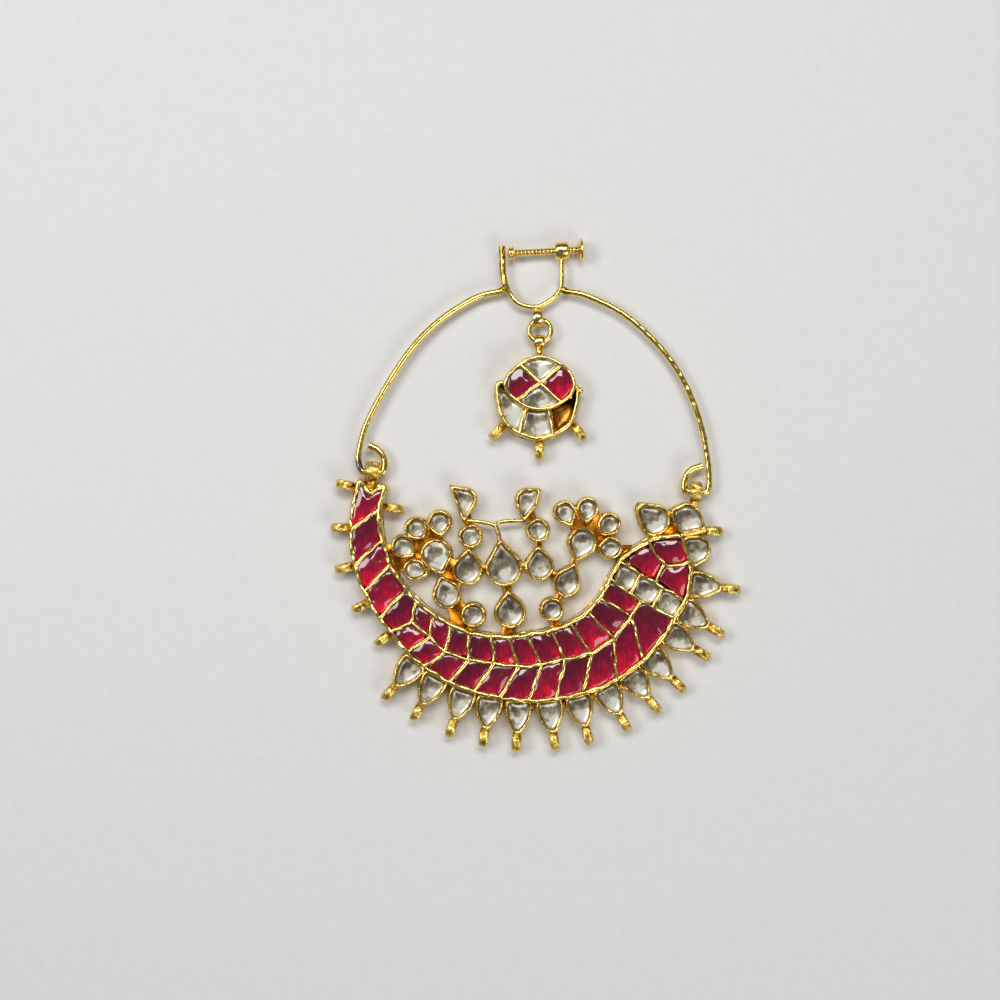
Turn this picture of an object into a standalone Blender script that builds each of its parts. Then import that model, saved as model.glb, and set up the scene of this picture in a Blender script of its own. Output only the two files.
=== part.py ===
"""A large nose ring: a wire hoop with a screw clip, a small pendant and a swinging crescent of rubies.

The jewel lies on its back. X runs across it, Y up towards the clip, Z out of the stones.
The origin is on the crescent's flat back, at the middle of its lowest stretch. Units are metres.
"""
import math

import bmesh
import bpy
from mathutils import Vector

# Crescent: one box of gold sheet with cell walls
CRESCENT_RADIUS = 0.0284
CRESCENT_HEIGHT = 0.0036
BACK_PLATE = 0.0008
RIM_WALL = 0.0006
CELL_WALL = 0.00062
RIM_STEP = RIM_WALL - CELL_WALL / 2
SIDE_FLARE = 0.00028
ARC_CENTRE = 0.808 * CRESCENT_RADIUS

# Stones
STONE_GAP = 0.00011
STONE_RECESS = 0.0006
STONE_CROWN = 0.0005
TABLE_SHARE = 0.62
CORNER_CUT = 0.0005

# Pointed cells of the fringe and the wire eyes
FRINGE_LENGTH = 0.0052
FRINGE_WIDTH_SHARE = 0.9
SMALL_CELL_HEIGHT = 0.0030
SMALL_CELL_WALL = 0.00055
SMALL_CELL_LIFT = 0.00025
EYE_RADIUS = 0.0016
EYE_HOLE = 0.0006
EYE_WIDTH = 0.0015
EYE_REACH = 0.00018

# Inner ornament
ORNAMENT_LIFT = 0.0004
TIE_PLATE = 0.0004
TIE_SHARE = 0.33
BEAK_WIRE = 0.00033

# Hoop, hooks and hinge lugs
WIRE_RADIUS = 0.00054
LUG_RADIUS = 0.0018
LUG_WIDTH = 0.00205
PIN_CLEARANCE = 0.00028
LUG_SIDE_GAP = 0.00019
LUG_NECK = 0.0014
HOOP_PLANE = 0.0019

# Screw clip
CLIP_WIDTH = 0.00966
CLIP_LEG = 0.0074
CLIP_DROP = 0.0027
CLIP_WIRE = 0.00046
COLLAR_RADIUS = 0.00085
SCREW_RADIUS = 0.00055
SCREW_CLEARANCE = 0.00012
SCREW_TILT = 2.9
SCREW_LEVEL = 0.0067
NUT_RADIUS = 0.00147
NUT_WIDTH = 0.0023
PAD_RADIUS = 0.00124
PAD_THICKNESS = 0.00105
PAD_GAP = 0.0003
PAD_JOINT = 0.0001
THUMB_RADIUS = 0.0019
THUMB_THICKNESS = 0.0009
THUMB_GAP = 0.0015

# Bail, jump ring and pendant
BAIL_RADIUS = 0.0015
BAIL_THICKNESS = 0.00036
BAIL_WIDTH = 0.0013
BAIL_SINK = 0.00015
BAIL_SHIFT = 0.0008
RING_RADIUS = 0.00182
RING_WIRE = 0.00046
RING_SAG = 0.00028
RING_SHIFT = 0.0003
PENDANT_EYE_RADIUS = 0.0012
PENDANT_EYE_THICKNESS = 0.00044
PENDANT_EYE_WIDTH = 0.0015
PENDANT_NECK = 0.0011
PENDANT_NECK_RADIUS = 0.00055
PENDANT_HALF_WIDTH = 0.00609
PENDANT_HALF_HEIGHT = 0.00464
PENDANT_TOP = 0.0043
PENDANT_BOWL_TOP = 0.0032
PENDANT_LIFT = 0.0003

ROUND_SIDES = 12
WIRE_SIDES = 8
MERGE_DISTANCE = 0.0000005
MITRE_LIMIT = 0.6

# Walls of the tail: one cell between each two, with angle in degrees from straight down and
# distance from the arc's centre as a share of CRESCENT_RADIUS
#             outer_deg  outer_share  inner_deg  inner_share
TAIL_WALLS = [
    (-106.6, 0.994, -107.5, 0.841),
    (-89.8, 1.000, -97.9, 0.845),
    (-77.9, 1.000, -85.4, 0.823),
    (-68.5, 0.988, -75.0, 0.801),
    (-58.3, 0.980, -62.7, 0.770),
]
TAIL_NOTCH = (-102.7, 0.913)

# Walls of the double rows, where each wall bends at the rib between the rows
#             inner_deg  inner_share  rib_deg  rib_share  outer_deg  outer_share
ROW_WALLS = [
    (-56.0, 0.747, -50.0, 0.847, -52.2, 0.971),
    (-46.5, 0.725, -40.9, 0.831, -43.2, 0.980),
    (-36.9, 0.698, -32.2, 0.849, -35.8, 0.988),
    (-27.6, 0.680, -22.6, 0.820, -25.5, 0.988),
    (-16.2, 0.651, -12.1, 0.797, -16.8, 0.988),
    (-7.6, 0.638, -1.8, 0.802, -8.0, 0.991),
    (2.1, 0.617, 7.7, 0.797, 1.8, 1.000),
    (15.2, 0.612, 17.9, 0.797, 11.0, 1.006),
    (27.0, 0.617, 28.7, 0.826, 20.2, 1.017),
    (37.7, 0.610, 40.0, 0.823, 32.0, 1.032),
    (48.4, 0.601, 51.1, 0.806, 42.4, 1.035),
    (60.1, 0.583, 58.6, 0.804, 59.3, 1.019),
]

# Band of three white stones across the head
#             share  lower_deg  upper_deg
BAND_WALLS = [
    (0.600, 60.1, 71.4),
    (0.731, 59.1, 68.8),
    (0.877, 58.8, 67.3),
    (1.019, 59.3, 66.1),
]

# Head: corners as shares of CRESCENT_RADIUS from the arc's centre, across and up
HEAD_RIM = [
    (0.948, -0.413), (0.965, -0.330), (0.976, -0.235), (0.965, -0.196), (0.926, -0.047),
    (0.841, -0.040), (0.756, -0.058), (0.684, -0.095), (0.581, -0.163),
]
HEAD_STONES = {
    "ruby_head_top": [(0.764, -0.084), (0.776, -0.118), (0.800, -0.155), (0.838, -0.180),
                      (0.890, -0.190), (0.944, -0.172), (0.914, -0.090), (0.896, -0.068)],
    "ruby_head_inner": [(0.618, -0.178), (0.753, -0.278), (0.796, -0.194), (0.764, -0.168),
                        (0.740, -0.136), (0.718, -0.108), (0.688, -0.122)],
    "ruby_head_outer": [(0.798, -0.290), (0.925, -0.388), (0.945, -0.300), (0.948, -0.218),
                        (0.890, -0.226), (0.840, -0.217)],
}

# Cells soldered on: a disc drawn tight to its tips, all as shares of CRESCENT_RADIUS
#    name               across    up     radius  tips
SMALL_CELLS = {
    "head_leaf_inner": ((0.770, 0.051), 0.082, [(0.675, 0.148), (0.849, 0.041), (0.740, -0.040)]),
    "head_leaf_outer": ((0.953, 0.064), 0.078, [(0.866, 0.112), (1.064, 0.010), (0.925, -0.025)]),
    "head_drop": ((1.012, -0.122), 0.072, [(0.935, -0.055), (0.998, -0.218)]),
    "left_petal_1": ((-0.700, -0.103), 0.064, [(-0.640, -0.157)]),
    "left_petal_2": ((-0.623, 0.003), 0.061, [(-0.576, -0.052)]),
    "left_petal_3": ((-0.487, 0.040), 0.064, [(-0.480, -0.041)]),
    "left_petal_4": ((-0.634, -0.237), 0.060, [(-0.552, -0.262)]),
    "left_centre": ((-0.506, -0.150), 0.087, [(-0.470, -0.262)]),
    "left_leaf": ((-0.443, -0.384), 0.078, [(-0.477, -0.277)]),
    "left_round": ((-0.290, -0.490), 0.066, []),
    "left_crest": ((-0.337, 0.176), 0.062, [(-0.416, 0.244), (-0.337, 0.050)]),
    "left_head": ((-0.306, -0.043), 0.064, []),
    "left_body": ((-0.323, -0.241), 0.081, [(-0.323, -0.123)]),
    "middle_drop": ((-0.110, -0.230), 0.101, [(-0.133, -0.070)]),
    "lower_drop": ((-0.074, -0.477), 0.085, [(-0.097, -0.360)]),
    "right_crest": ((0.023, 0.169), 0.062, [(0.097, 0.225), (0.003, 0.048)]),
    "right_head": ((0.087, -0.009), 0.064, []),
    "right_body": ((0.096, -0.218), 0.079, [(0.087, -0.102)]),
    "right_leaf": ((0.256, -0.314), 0.076, [(0.304, -0.202), (0.244, -0.401)]),
    "right_round": ((0.167, -0.463), 0.064, []),
    "right_centre": ((0.347, -0.076), 0.081, [(0.310, -0.186)]),
    "right_petal_1": ((0.244, 0.098), 0.060, [(0.284, 0.020)]),
    "right_petal_2": ((0.377, 0.118), 0.060, [(0.371, 0.035)]),
    "right_petal_3": ((0.504, 0.028), 0.062, [(0.453, -0.035)]),
    "right_petal_4": ((0.511, -0.112), 0.062, [(0.436, -0.110)]),
}

# Thin back plates that tie cells together and to the rim: cell names, then points on the rim
TIES = [
    (["left_petal_1", "left_petal_2", "left_petal_3", "left_centre", "left_petal_4"], []),
    (["left_petal_1", "left_petal_4"], [(-84.0, 0.86), (-73.0, 0.84)]),
    (["left_centre", "left_leaf", "left_body"], []),
    (["left_leaf", "left_round"], [(-33.0, 0.74)]),
    (["left_round"], [(-28.0, 0.72)]),
    (["left_crest", "left_head"], []),
    (["left_head", "left_body"], []),
    (["left_body", "middle_drop", "right_body"], []),
    (["middle_drop", "lower_drop"], []),
    (["lower_drop"], [(-8.0, 0.68)]),
    (["right_crest", "right_head"], []),
    (["right_head", "right_body"], []),
    (["right_body", "right_leaf"], []),
    (["right_leaf", "right_round"], []),
    (["right_round"], [(17.0, 0.66)]),
    (["right_leaf", "right_centre"], []),
    (["right_petal_1", "right_petal_2", "right_petal_3", "right_petal_4", "right_centre"], []),
    (["right_petal_4"], [(77.0, 0.64), (82.0, 0.70)]),
    (["head_leaf_inner", "head_leaf_outer"], [(86.0, 0.76), (86.0, 0.90)]),
    (["head_leaf_outer", "head_drop"], [(84.0, 0.92), (80.0, 0.96)]),
]

# Thin wires between the birds' heads and the middle drop, as shares across and up
BEAK_WIRES = [
    [(-0.325, 0.047), (-0.250, 0.041), (-0.169, 0.020), (-0.145, -0.020), (-0.131, -0.085)],
    [(0.003, 0.047), (-0.105, 0.044), (-0.155, 0.028), (-0.150, -0.010), (-0.133, -0.085)],
]

# Outline of one pointed cell, half of it from the rim to the tip
#               half_width_share  length_share
FRINGE_OUTLINE = [(0.50, -0.05), (0.50, 0.12), (0.45, 0.40), (0.29, 0.72), (0.09, 1.00)]
FRINGE_FIRST = -39.6
FRINGE_PITCH = 9.35
FRINGE_COUNT = 13

# Eyes without a cell, on the tail and the head: angle, share of the rim they stand on, outwards or in
BARE_EYES = [
    (-102.8, 0.984, 1), (-90.3, 1.000, 1), (-77.6, 1.000, 1), (-64.4, 0.985, 1), (-51.7, 0.973, 1),
    (-99.0, 0.843, -1), (89.3, 1.058, 1),
]

# Hinge points, as shares of CRESCENT_RADIUS from the arc's centre
LUG_LEFT = (-0.880, 0.331)
LUG_RIGHT = (1.009, 0.215)
LUG_LEFT_ROOT = (-0.889, 0.204)
LUG_RIGHT_ROOT = (1.000, 0.085)

# Hoop: its centre from the middle of the hinge line, and its arms as angle from straight up and
# distance from that centre, all as shares of half the way between the lugs
HOOP_CENTRE = (-0.007, 0.098)
HOOP_LEFT = [(-18.8, 1.098), (-32.5, 1.068), (-45.6, 1.043), (-60.3, 1.029), (-75.9, 1.060),
             (-86.0, 1.078)]
HOOP_RIGHT = [(17.7, 1.103), (31.5, 1.093), (47.3, 1.075), (61.5, 1.069), (76.8, 1.069),
              (90.4, 1.085)]
CLIP_FOOT_SHARE = 1.081

# Hook at an arm's end, along the pin and up from it, as shares of half the pin's length
HOOK = [(1.25, 0.50), (1.08, 0.13), (0.82, 0.0), (-0.82, 0.0), (-1.06, 0.15), (-1.14, 0.90),
        (-0.86, 1.70), (-0.30, 2.22), (0.46, 2.52)]

# Curve of the clip's wire below its feet, as shares of half CLIP_WIDTH and of CLIP_DROP
CLIP_CURVE = [(-0.84, -0.22), (-0.62, -0.65), (-0.24, -0.96), (0.18, -1.0), (0.56, -0.68), (0.82, -0.20)]

# Pendant's lower crescent: angle from straight down, and its rim as a share of PENDANT_HALF_WIDTH
PENDANT_BOWL = [(-91, 1.16), (-61, 1.29), (-41, 1.47), (-21, 1.52), (0, 1.53), (16, 1.48), (37, 1.41),
                (58, 1.22), (83, 1.09)]
#                name                    from_deg  to_deg
BOWL_CELLS = [("pendant_white_left", -76, -25), ("pendant_white_middle", -20, 13), ("", 18, 68)]
#                name                    from_deg  to_deg   (from straight up, clockwise)
DISC_CELLS = [("pendant_white_top", -38, 42), ("pendant_ruby_right", 42, 141),
              ("pendant_white_bottom", 141, 226), ("pendant_ruby_left", 226, 322)]
# Rim of the upper box: angle from straight up, clockwise, and its share of the full oval
DISC_RIM = [(0, 1.0), (20, 0.97), (40, 0.91), (62, 0.94), (90, 1.0), (115, 0.99), (140, 0.95), (160, 0.98),
            (180, 1.0), (204, 0.97), (226, 0.93), (248, 0.97), (270, 1.0), (298, 0.93), (321, 0.89),
            (342, 0.95), (360, 1.0)]
#                angle_deg  reach_share
PENDANT_EYES = [(-41, 1.49), (0, 1.55), (39, 1.42)]


def spot(across, up):
    """Point of the jewel's plane from its shares of CRESCENT_RADIUS, from the arc's centre."""
    return Vector((across * CRESCENT_RADIUS, ARC_CENTRE + up * CRESCENT_RADIUS))


def polar(angle, share):
    """Point of the jewel's plane at an angle in degrees from straight down."""
    turn = math.radians(angle)
    return spot(share * math.sin(turn), -share * math.cos(turn))


def rim(start, end, steps):
    """Points along the arc from one (angle, share) to another, without its last point."""
    points = []
    for step in range(steps):
        t = step / steps
        points.append(polar(start[0] + t * (end[0] - start[0]), start[1] + t * (end[1] - start[1])))
    return points


def middle_of(outline):
    """Mean of an outline's points."""
    return sum(outline, Vector((0.0, 0.0))) / len(outline)


def inset(outline, margin):
    """Anticlockwise outline with each side moved inwards by the margin, or outwards if negative."""
    moved = []
    for index, corner in enumerate(outline):
        before = (corner - outline[index - 1]).normalized()
        after = (outline[(index + 1) % len(outline)] - corner).normalized()
        inward = Vector((-before.y - after.y, before.x + after.x)).normalized()
        slant = max(MITRE_LIMIT, inward.dot(Vector((-after.y, after.x))))
        moved.append(corner + inward * margin / slant)
    return moved


def cut_corners(outline, cut):
    """Outline whose sharp corners are cut off, with gentle bends kept as one point."""
    result = []
    for index, corner in enumerate(outline):
        before = outline[index - 1] - corner
        after = outline[(index + 1) % len(outline)] - corner
        if before.angle(after) > math.radians(150):
            result.append(corner)
            continue
        result.append(corner + before * min(0.35, cut / before.length))
        result.append(corner + after * min(0.35, cut / after.length))
    return result


def scaled(outline, centre, factor):
    """Outline drawn in towards a centre, or out from it."""
    return [centre + (point - centre) * factor for point in outline]


def disc(centre, radius, sides=ROUND_SIDES):
    """Points of a circle, anticlockwise."""
    turns = [2 * math.pi * (side + 0.5) / sides for side in range(sides)]
    return [centre + radius * Vector((math.cos(turn), math.sin(turn))) for turn in turns]


def hull(points):
    """Anticlockwise outline of a thread drawn tight round the points."""
    ordered = sorted(points, key=lambda point: (point.x, point.y))

    def chain(run):
        kept = []
        for point in run:
            while len(kept) > 1 and (kept[-1] - kept[-2]).cross(point - kept[-2]) <= 1e-12:
                kept.pop()
            kept.append(point)
        return kept[:-1]

    return chain(ordered) + chain(reversed(ordered))


def level(outline, height):
    """Outline as points in space at one height."""
    return [Vector((point.x, point.y, height)) for point in outline]


def solid(name, points, faces):
    """Mesh object from points and faces, with its faces turned outwards."""
    mesh = bpy.data.meshes.new(name)
    mesh.from_pydata(points, [], faces)
    work = bmesh.new()
    work.from_mesh(mesh)
    bmesh.ops.recalc_face_normals(work, faces=work.faces)
    work.to_mesh(mesh)
    work.free()
    thing = bpy.data.objects.new(name, mesh)
    bpy.context.collection.objects.link(thing)
    return thing


def lofted(name, rings):
    """Closed solid through rings with equal counts of points, capped by the first and the last."""
    count = len(rings[0])
    faces = [tuple(range(count)), tuple(range((len(rings) - 1) * count, len(rings) * count))]
    for step in range(len(rings) - 1):
        for side in range(count):
            near = step * count + side
            far = step * count + (side + 1) % count
            faces.append((near, far, far + count, near + count))
    return solid(name, [point for ring in rings for point in ring], faces)


def looped(name, rings):
    """Closed solid through a loop of rings, whose last ring meets its first."""
    count = len(rings[0])
    faces = []
    for step in range(len(rings)):
        onward = (step + 1) % len(rings) * count
        for side in range(count):
            neighbour = (side + 1) % count
            here = step * count
            faces.append((here + side, here + neighbour, onward + neighbour, onward + side))
    return solid(name, [point for ring in rings for point in ring], faces)


def wire_rings(path, radius, sides, closed=False):
    """Round sections along a flat path of points that share one height."""
    rings = []
    for index, point in enumerate(path):
        ahead = path[(index + 1) % len(path)] if closed or index < len(path) - 1 else point
        behind = path[index - 1] if closed or index else point
        along = (ahead - behind).normalized()
        across = along.cross(Vector((0, 0, 1)))
        ring = []
        for side in range(sides):
            turn = 2 * math.pi * (side + 0.5) / sides
            ring.append(point + radius * (math.cos(turn) * across + math.sin(turn) * Vector((0, 0, 1))))
        rings.append(ring)
    return rings


def smooth_path(points, steps):
    """Smooth curve through points, with a few steps between each two."""
    ends = [2 * points[0] - points[1]] + points + [2 * points[-1] - points[-2]]
    path = []
    for a, b, c, d in zip(ends, ends[1:], ends[2:], ends[3:]):
        for step in range(steps):
            t = step / steps
            curve = 2 * b + (c - a) * t + (2 * a - 5 * b + 4 * c - d) * t * t
            path.append((curve + (3 * b - a - 3 * c + d) * t ** 3) / 2)
    return path + [points[-1]]


def eye(name, centre, axis, outer, hole, width, sides=10):
    """Flat ring of doubled wire whose hole runs along a level axis."""
    half = width / 2
    shoulder = outer - 0.25 * (outer - hole)
    section = [(hole, -half), (shoulder, -half), (outer, 0.0), (shoulder, half), (hole, half)]
    across = axis.cross(Vector((0, 0, 1)))
    rings = []
    for side in range(sides):
        turn = 2 * math.pi * (side + 0.5) / sides
        spoke = math.cos(turn) * across + math.sin(turn) * Vector((0, 0, 1))
        rings.append([centre + spoke * radius + axis * along for radius, along in section])
    return looped(name, rings)


def turned(name, origin, axis, profile, sides=ROUND_SIDES):
    """Rod turned about an axis, from rows of distance along it and radius."""
    across = axis.cross(Vector((0, 0, 1)))
    rings = []
    for along, radius in profile:
        ring = []
        for side in range(sides):
            turn = 2 * math.pi * (side + 0.5) / sides
            spoke = math.cos(turn) * across + math.sin(turn) * Vector((0, 0, 1))
            ring.append(origin + axis * along + spoke * radius)
        rings.append(ring)
    return lofted(name, rings)


def box_setting(name, outline, pockets, heights, flare):
    """Box with a flat back, flared sides, and a pocket for each cell; heights are back, floor and top."""
    bottom, floor, top = heights
    work = bmesh.new()
    mouths = []

    def ring(points, height):
        return [work.verts.new(point) for point in level(points, height)]

    def wall(low, high):
        for index in range(len(low)):
            work.faces.new((low[index - 1], low[index], high[index], high[index - 1]))

    def mouth(verts):
        mouths.extend(work.edges.get((verts[index - 1], verts[index])) for index in range(len(verts)))

    back = ring(inset(outline, -flare), bottom)
    edge = ring(outline, top)
    work.faces.new(back)
    wall(back, edge)
    mouth(edge)
    for pocket in pockets:
        seat = ring(pocket, floor)
        lip = ring(pocket, top)
        work.faces.new(seat)
        wall(seat, lip)
        mouth(lip)
    bmesh.ops.triangle_fill(work, use_beauty=True, edges=mouths, normal=(0, 0, 1))
    bmesh.ops.recalc_face_normals(work, faces=work.faces)
    mesh = bpy.data.meshes.new(name)
    work.to_mesh(mesh)
    work.free()
    thing = bpy.data.objects.new(name, mesh)
    bpy.context.collection.objects.link(thing)
    return thing


def small_cell(name, outline, centre, radius, bottom, top):
    """Closed cell with its white stone fused in: flared side, lip, recess and a cut crown."""
    mouth = scaled(outline, centre, 1 - SMALL_CELL_WALL / radius)
    table = scaled(outline, centre, TABLE_SHARE * (1 - SMALL_CELL_WALL / radius))
    return lofted(name, [
        level(scaled(outline, centre, 1 + SIDE_FLARE / radius), bottom),
        level(outline, top),
        level(mouth, top),
        level(mouth, top - STONE_RECESS / 2),
        level(table, top - STONE_RECESS / 2 + STONE_CROWN),
    ])


def cut_stone(name, pocket, floor, top, material):
    """Flat cut stone in a pocket: plain sides, a crown of facets and a table."""
    girdle = inset(pocket, STONE_GAP)
    centre = middle_of(girdle)
    crown = top - STONE_RECESS
    stone = lofted(name, [
        level(scaled(girdle, centre, 0.9), floor + STONE_GAP),
        level(girdle, crown),
        level(scaled(girdle, centre, TABLE_SHARE), crown + STONE_CROWN),
    ])
    stone.data.materials.append(material)
    return stone


def joined(name, pieces, material):
    """One solid from pieces that overlap."""
    group = bpy.data.collections.new(name + "_pieces")
    for piece in pieces[1:]:
        group.objects.link(piece)
    join = pieces[0].modifiers.new("join", "BOOLEAN")
    join.operation = "UNION"
    join.solver = "EXACT"
    join.operand_type = "COLLECTION"
    join.collection = group
    bpy.context.view_layer.update()
    mesh = bpy.data.meshes.new_from_object(pieces[0].evaluated_get(bpy.context.evaluated_depsgraph_get()))
    mesh.name = name
    work = bmesh.new()
    work.from_mesh(mesh)
    bmesh.ops.remove_doubles(work, verts=work.verts, dist=MERGE_DISTANCE)
    bmesh.ops.dissolve_degenerate(work, edges=work.edges, dist=MERGE_DISTANCE)
    work.to_mesh(mesh)
    work.free()
    mesh.materials.clear()
    mesh.materials.append(material)
    for piece in pieces:
        bpy.data.objects.remove(piece)
    bpy.data.collections.remove(group)
    thing = bpy.data.objects.new(name, mesh)
    bpy.context.collection.objects.link(thing)
    return thing


def material(name, colour, metallic, roughness):
    """Material with its own colour, metal and roughness."""
    made = bpy.data.materials.new(name)
    made.use_nodes = True
    shader = made.node_tree.nodes["Principled BSDF"]
    shader.inputs["Base Color"].default_value = (*colour, 1.0)
    shader.inputs["Metallic"].default_value = metallic
    shader.inputs["Roughness"].default_value = roughness
    return made


def cell_outlines():
    """Outline of every cell of the box, by its stone's name, up to the middle of its walls."""
    cells = {}
    for number, (upper, lower) in enumerate(zip(TAIL_WALLS, TAIL_WALLS[1:]), 1):
        notch = [polar(*TAIL_NOTCH)] if number == 1 else []
        cells[f"ruby_tail_{number}"] = (
            rim(upper[:2], lower[:2], 2) + [polar(*lower[:2])]
            + rim(lower[2:], upper[2:], 2) + [polar(*upper[2:])] + notch)
    last, first = TAIL_WALLS[-1], ROW_WALLS[0]
    cells["ruby_tail_5"] = [polar(*last[:2]), polar(*first[4:]), polar(*first[2:4]),
                            polar(*first[:2]), polar(*last[2:])]
    for number, (one, two) in enumerate(zip(ROW_WALLS, ROW_WALLS[1:]), 1):
        cells[f"ruby_inner_{number}"] = (
            [polar(*one[2:4]), polar(*two[2:4])] + rim(two[:2], one[:2], 2) + [polar(*one[:2])])
        cells[f"ruby_outer_{number}"] = (
            rim(one[4:], two[4:], 2) + [polar(*two[4:]), polar(*two[2:4]), polar(*one[2:4])])
    for number, (near, far) in enumerate(zip(BAND_WALLS, BAND_WALLS[1:]), 1):
        cells[f"white_band_{number}"] = [polar(far[1], far[0]), polar(far[2], far[0]),
                                         polar(near[2], near[0]), polar(near[1], near[0])]
    return cells


def crescent_outline():
    """Rim of the box, anticlockwise: down the outer side, round the head and back inside."""
    outer = [wall[:2] for wall in TAIL_WALLS] + [wall[4:] for wall in ROW_WALLS]
    inner = [wall[:2] for wall in reversed(ROW_WALLS)] + [wall[2:] for wall in reversed(TAIL_WALLS)]
    outline = []
    for start, end in zip(outer, outer[1:]):
        outline += rim(start, end, 2)
    outline += [polar(*outer[-1])] + [spot(*corner) for corner in HEAD_RIM]
    for start, end in zip(inner, inner[1:]):
        outline += rim(start, end, 2)
    return outline + [polar(*inner[-1]), polar(*TAIL_NOTCH)]


def rim_share(angle):
    """Share of the radius at which the box's outer rim runs, at an angle in degrees."""
    rows = [wall[:2] for wall in TAIL_WALLS] + [wall[4:] for wall in ROW_WALLS]
    rows += [(66.1, 1.034), (76.5, 1.004)]
    for (low, near), (high, far) in zip(rows, rows[1:]):
        if low <= angle <= high:
            return near + (far - near) * (angle - low) / (high - low)
    return rows[-1][1]


def stand_eye(name, foot, outward):
    """Wire eye that stands on a foot in the jewel's plane and points along a direction there."""
    centre = foot + outward * (EYE_RADIUS - EYE_REACH)
    axis = Vector((-outward.y, outward.x, 0.0))
    return eye(name, level([centre], SMALL_CELL_LIFT + EYE_RADIUS)[0], axis, EYE_RADIUS, EYE_HOLE, EYE_WIDTH)


def away(angle):
    """Direction in the jewel's plane that points from the arc's centre at an angle."""
    turn = math.radians(angle)
    return Vector((math.sin(turn), -math.cos(turn)))


def fringe():
    """Pointed cells along the outer rim, each with an eye at its tip."""
    pieces = []
    width = FRINGE_WIDTH_SHARE * CRESCENT_RADIUS * math.radians(FRINGE_PITCH)
    for number in range(FRINGE_COUNT):
        angle = FRINGE_FIRST + number * FRINGE_PITCH
        outward = away(angle)
        across = Vector((-outward.y, outward.x))
        root = polar(angle, rim_share(angle)) + outward * RIM_STEP
        half = [(width * share, FRINGE_LENGTH * length) for share, length in FRINGE_OUTLINE]
        loop = [(-side, out) for side, out in half] + half[::-1]
        outline = [root + across * side + outward * out for side, out in loop]
        centre = root + outward * 0.40 * FRINGE_LENGTH
        pieces.append(small_cell(f"fringe_{number}", outline, centre, 0.45 * width,
                                 SMALL_CELL_LIFT, SMALL_CELL_HEIGHT))
        pieces.append(stand_eye(f"fringe_eye_{number}", root + outward * FRINGE_LENGTH, outward))
    return pieces


def ornament():
    """Cells of the head and the birds and sprays inside, their tie plates and beak wires."""
    pieces = []
    for name, (middle, share, tips) in SMALL_CELLS.items():
        centre = spot(*middle)
        radius = share * CRESCENT_RADIUS
        outline = hull(disc(centre, radius) + [spot(*tip) for tip in tips])
        pieces.append(small_cell(name, outline, centre, radius, ORNAMENT_LIFT, SMALL_CELL_HEIGHT))
    for number, (names, anchors) in enumerate(TIES):
        points = [polar(*anchor) for anchor in anchors]
        for name in names:
            middle, share, tips = SMALL_CELLS[name]
            points += disc(spot(*middle), TIE_SHARE * share * CRESCENT_RADIUS, 8)
        bottom = SMALL_CELL_LIFT + 0.05 * TIE_PLATE * (1 + number % 3)
        outline = hull(points)
        pieces.append(lofted(f"tie_{number}", [level(outline, bottom), level(outline, bottom + TIE_PLATE)]))
    for number, points in enumerate(BEAK_WIRES):
        path = level([spot(*point) for point in points], SMALL_CELL_HEIGHT - 2 * BEAK_WIRE)
        pieces.append(lofted(f"beak_{number}", wire_rings(path, BEAK_WIRE, 6)))
    return pieces


def hinge_line():
    """Middle of each lug and the direction from the left one to the right one."""
    left, right = level([spot(*LUG_LEFT), spot(*LUG_RIGHT)], HOOP_PLANE)
    return left, right, (right - left).normalized()


def lugs():
    """Hinge lugs and the solder necks that hold them."""
    left, right, axis = hinge_line()
    pieces = []
    roots = level([spot(*LUG_LEFT_ROOT), spot(*LUG_RIGHT_ROOT)], HOOP_PLANE)
    for name, centre, root in (("left", left, roots[0]), ("right", right, roots[1])):
        hole = WIRE_RADIUS + PIN_CLEARANCE
        pieces.append(eye(f"lug_{name}", centre, axis, LUG_RADIUS, hole, LUG_WIDTH, ROUND_SIDES))
        down = (root - centre).normalized()
        start = centre + down * (LUG_RADIUS + hole) / 2
        rings = []
        for point, width in ((start, 0.4 * LUG_WIDTH), (root, 0.15 * LUG_WIDTH)):
            corners = ((-1, -0.5), (1, -0.5), (1, 0.5), (-1, 0.5))
            rings.append([point + axis * width * side + Vector((0, 0, LUG_NECK * rise))
                          for side, rise in corners])
        pieces.append(lofted(f"neck_{name}", rings))
    return pieces


def build_crescent(gold, ruby, white):
    """The crescent: its box with everything soldered to it, and its stones."""
    pockets = {}
    for name, outline in cell_outlines().items():
        pockets[name] = cut_corners(inset(outline, CELL_WALL / 2), CORNER_CUT)
    for name, corners in HEAD_STONES.items():
        stone = [spot(*corner) for corner in corners]
        pockets[name] = cut_corners(inset(stone, -STONE_GAP), CORNER_CUT / 2)
    rim_line = inset(crescent_outline(), -RIM_STEP)
    box = box_setting("crescent_box", rim_line, pockets.values(), (0.0, BACK_PLATE, CRESCENT_HEIGHT),
                      SIDE_FLARE)
    pieces = [box] + fringe() + ornament() + lugs()
    for number, (angle, share, way) in enumerate(BARE_EYES):
        outward = way * away(angle)
        pieces.append(stand_eye(f"bare_eye_{number}", polar(angle, share) + outward * RIM_STEP, outward))
    notch = [polar(*TAIL_WALLS[0][:2]), polar(*TAIL_NOTCH), polar(*TAIL_WALLS[0][2:])]
    pieces.append(lofted("notch_plate", [level(notch, 0.1 * BACK_PLATE), level(notch, BACK_PLATE)]))
    setting = joined("crescent_setting", pieces, gold)
    stones = [cut_stone(name, pocket, BACK_PLATE, CRESCENT_HEIGHT, white if "white" in name else ruby)
              for name, pocket in pockets.items()]
    return [setting] + stones


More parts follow.
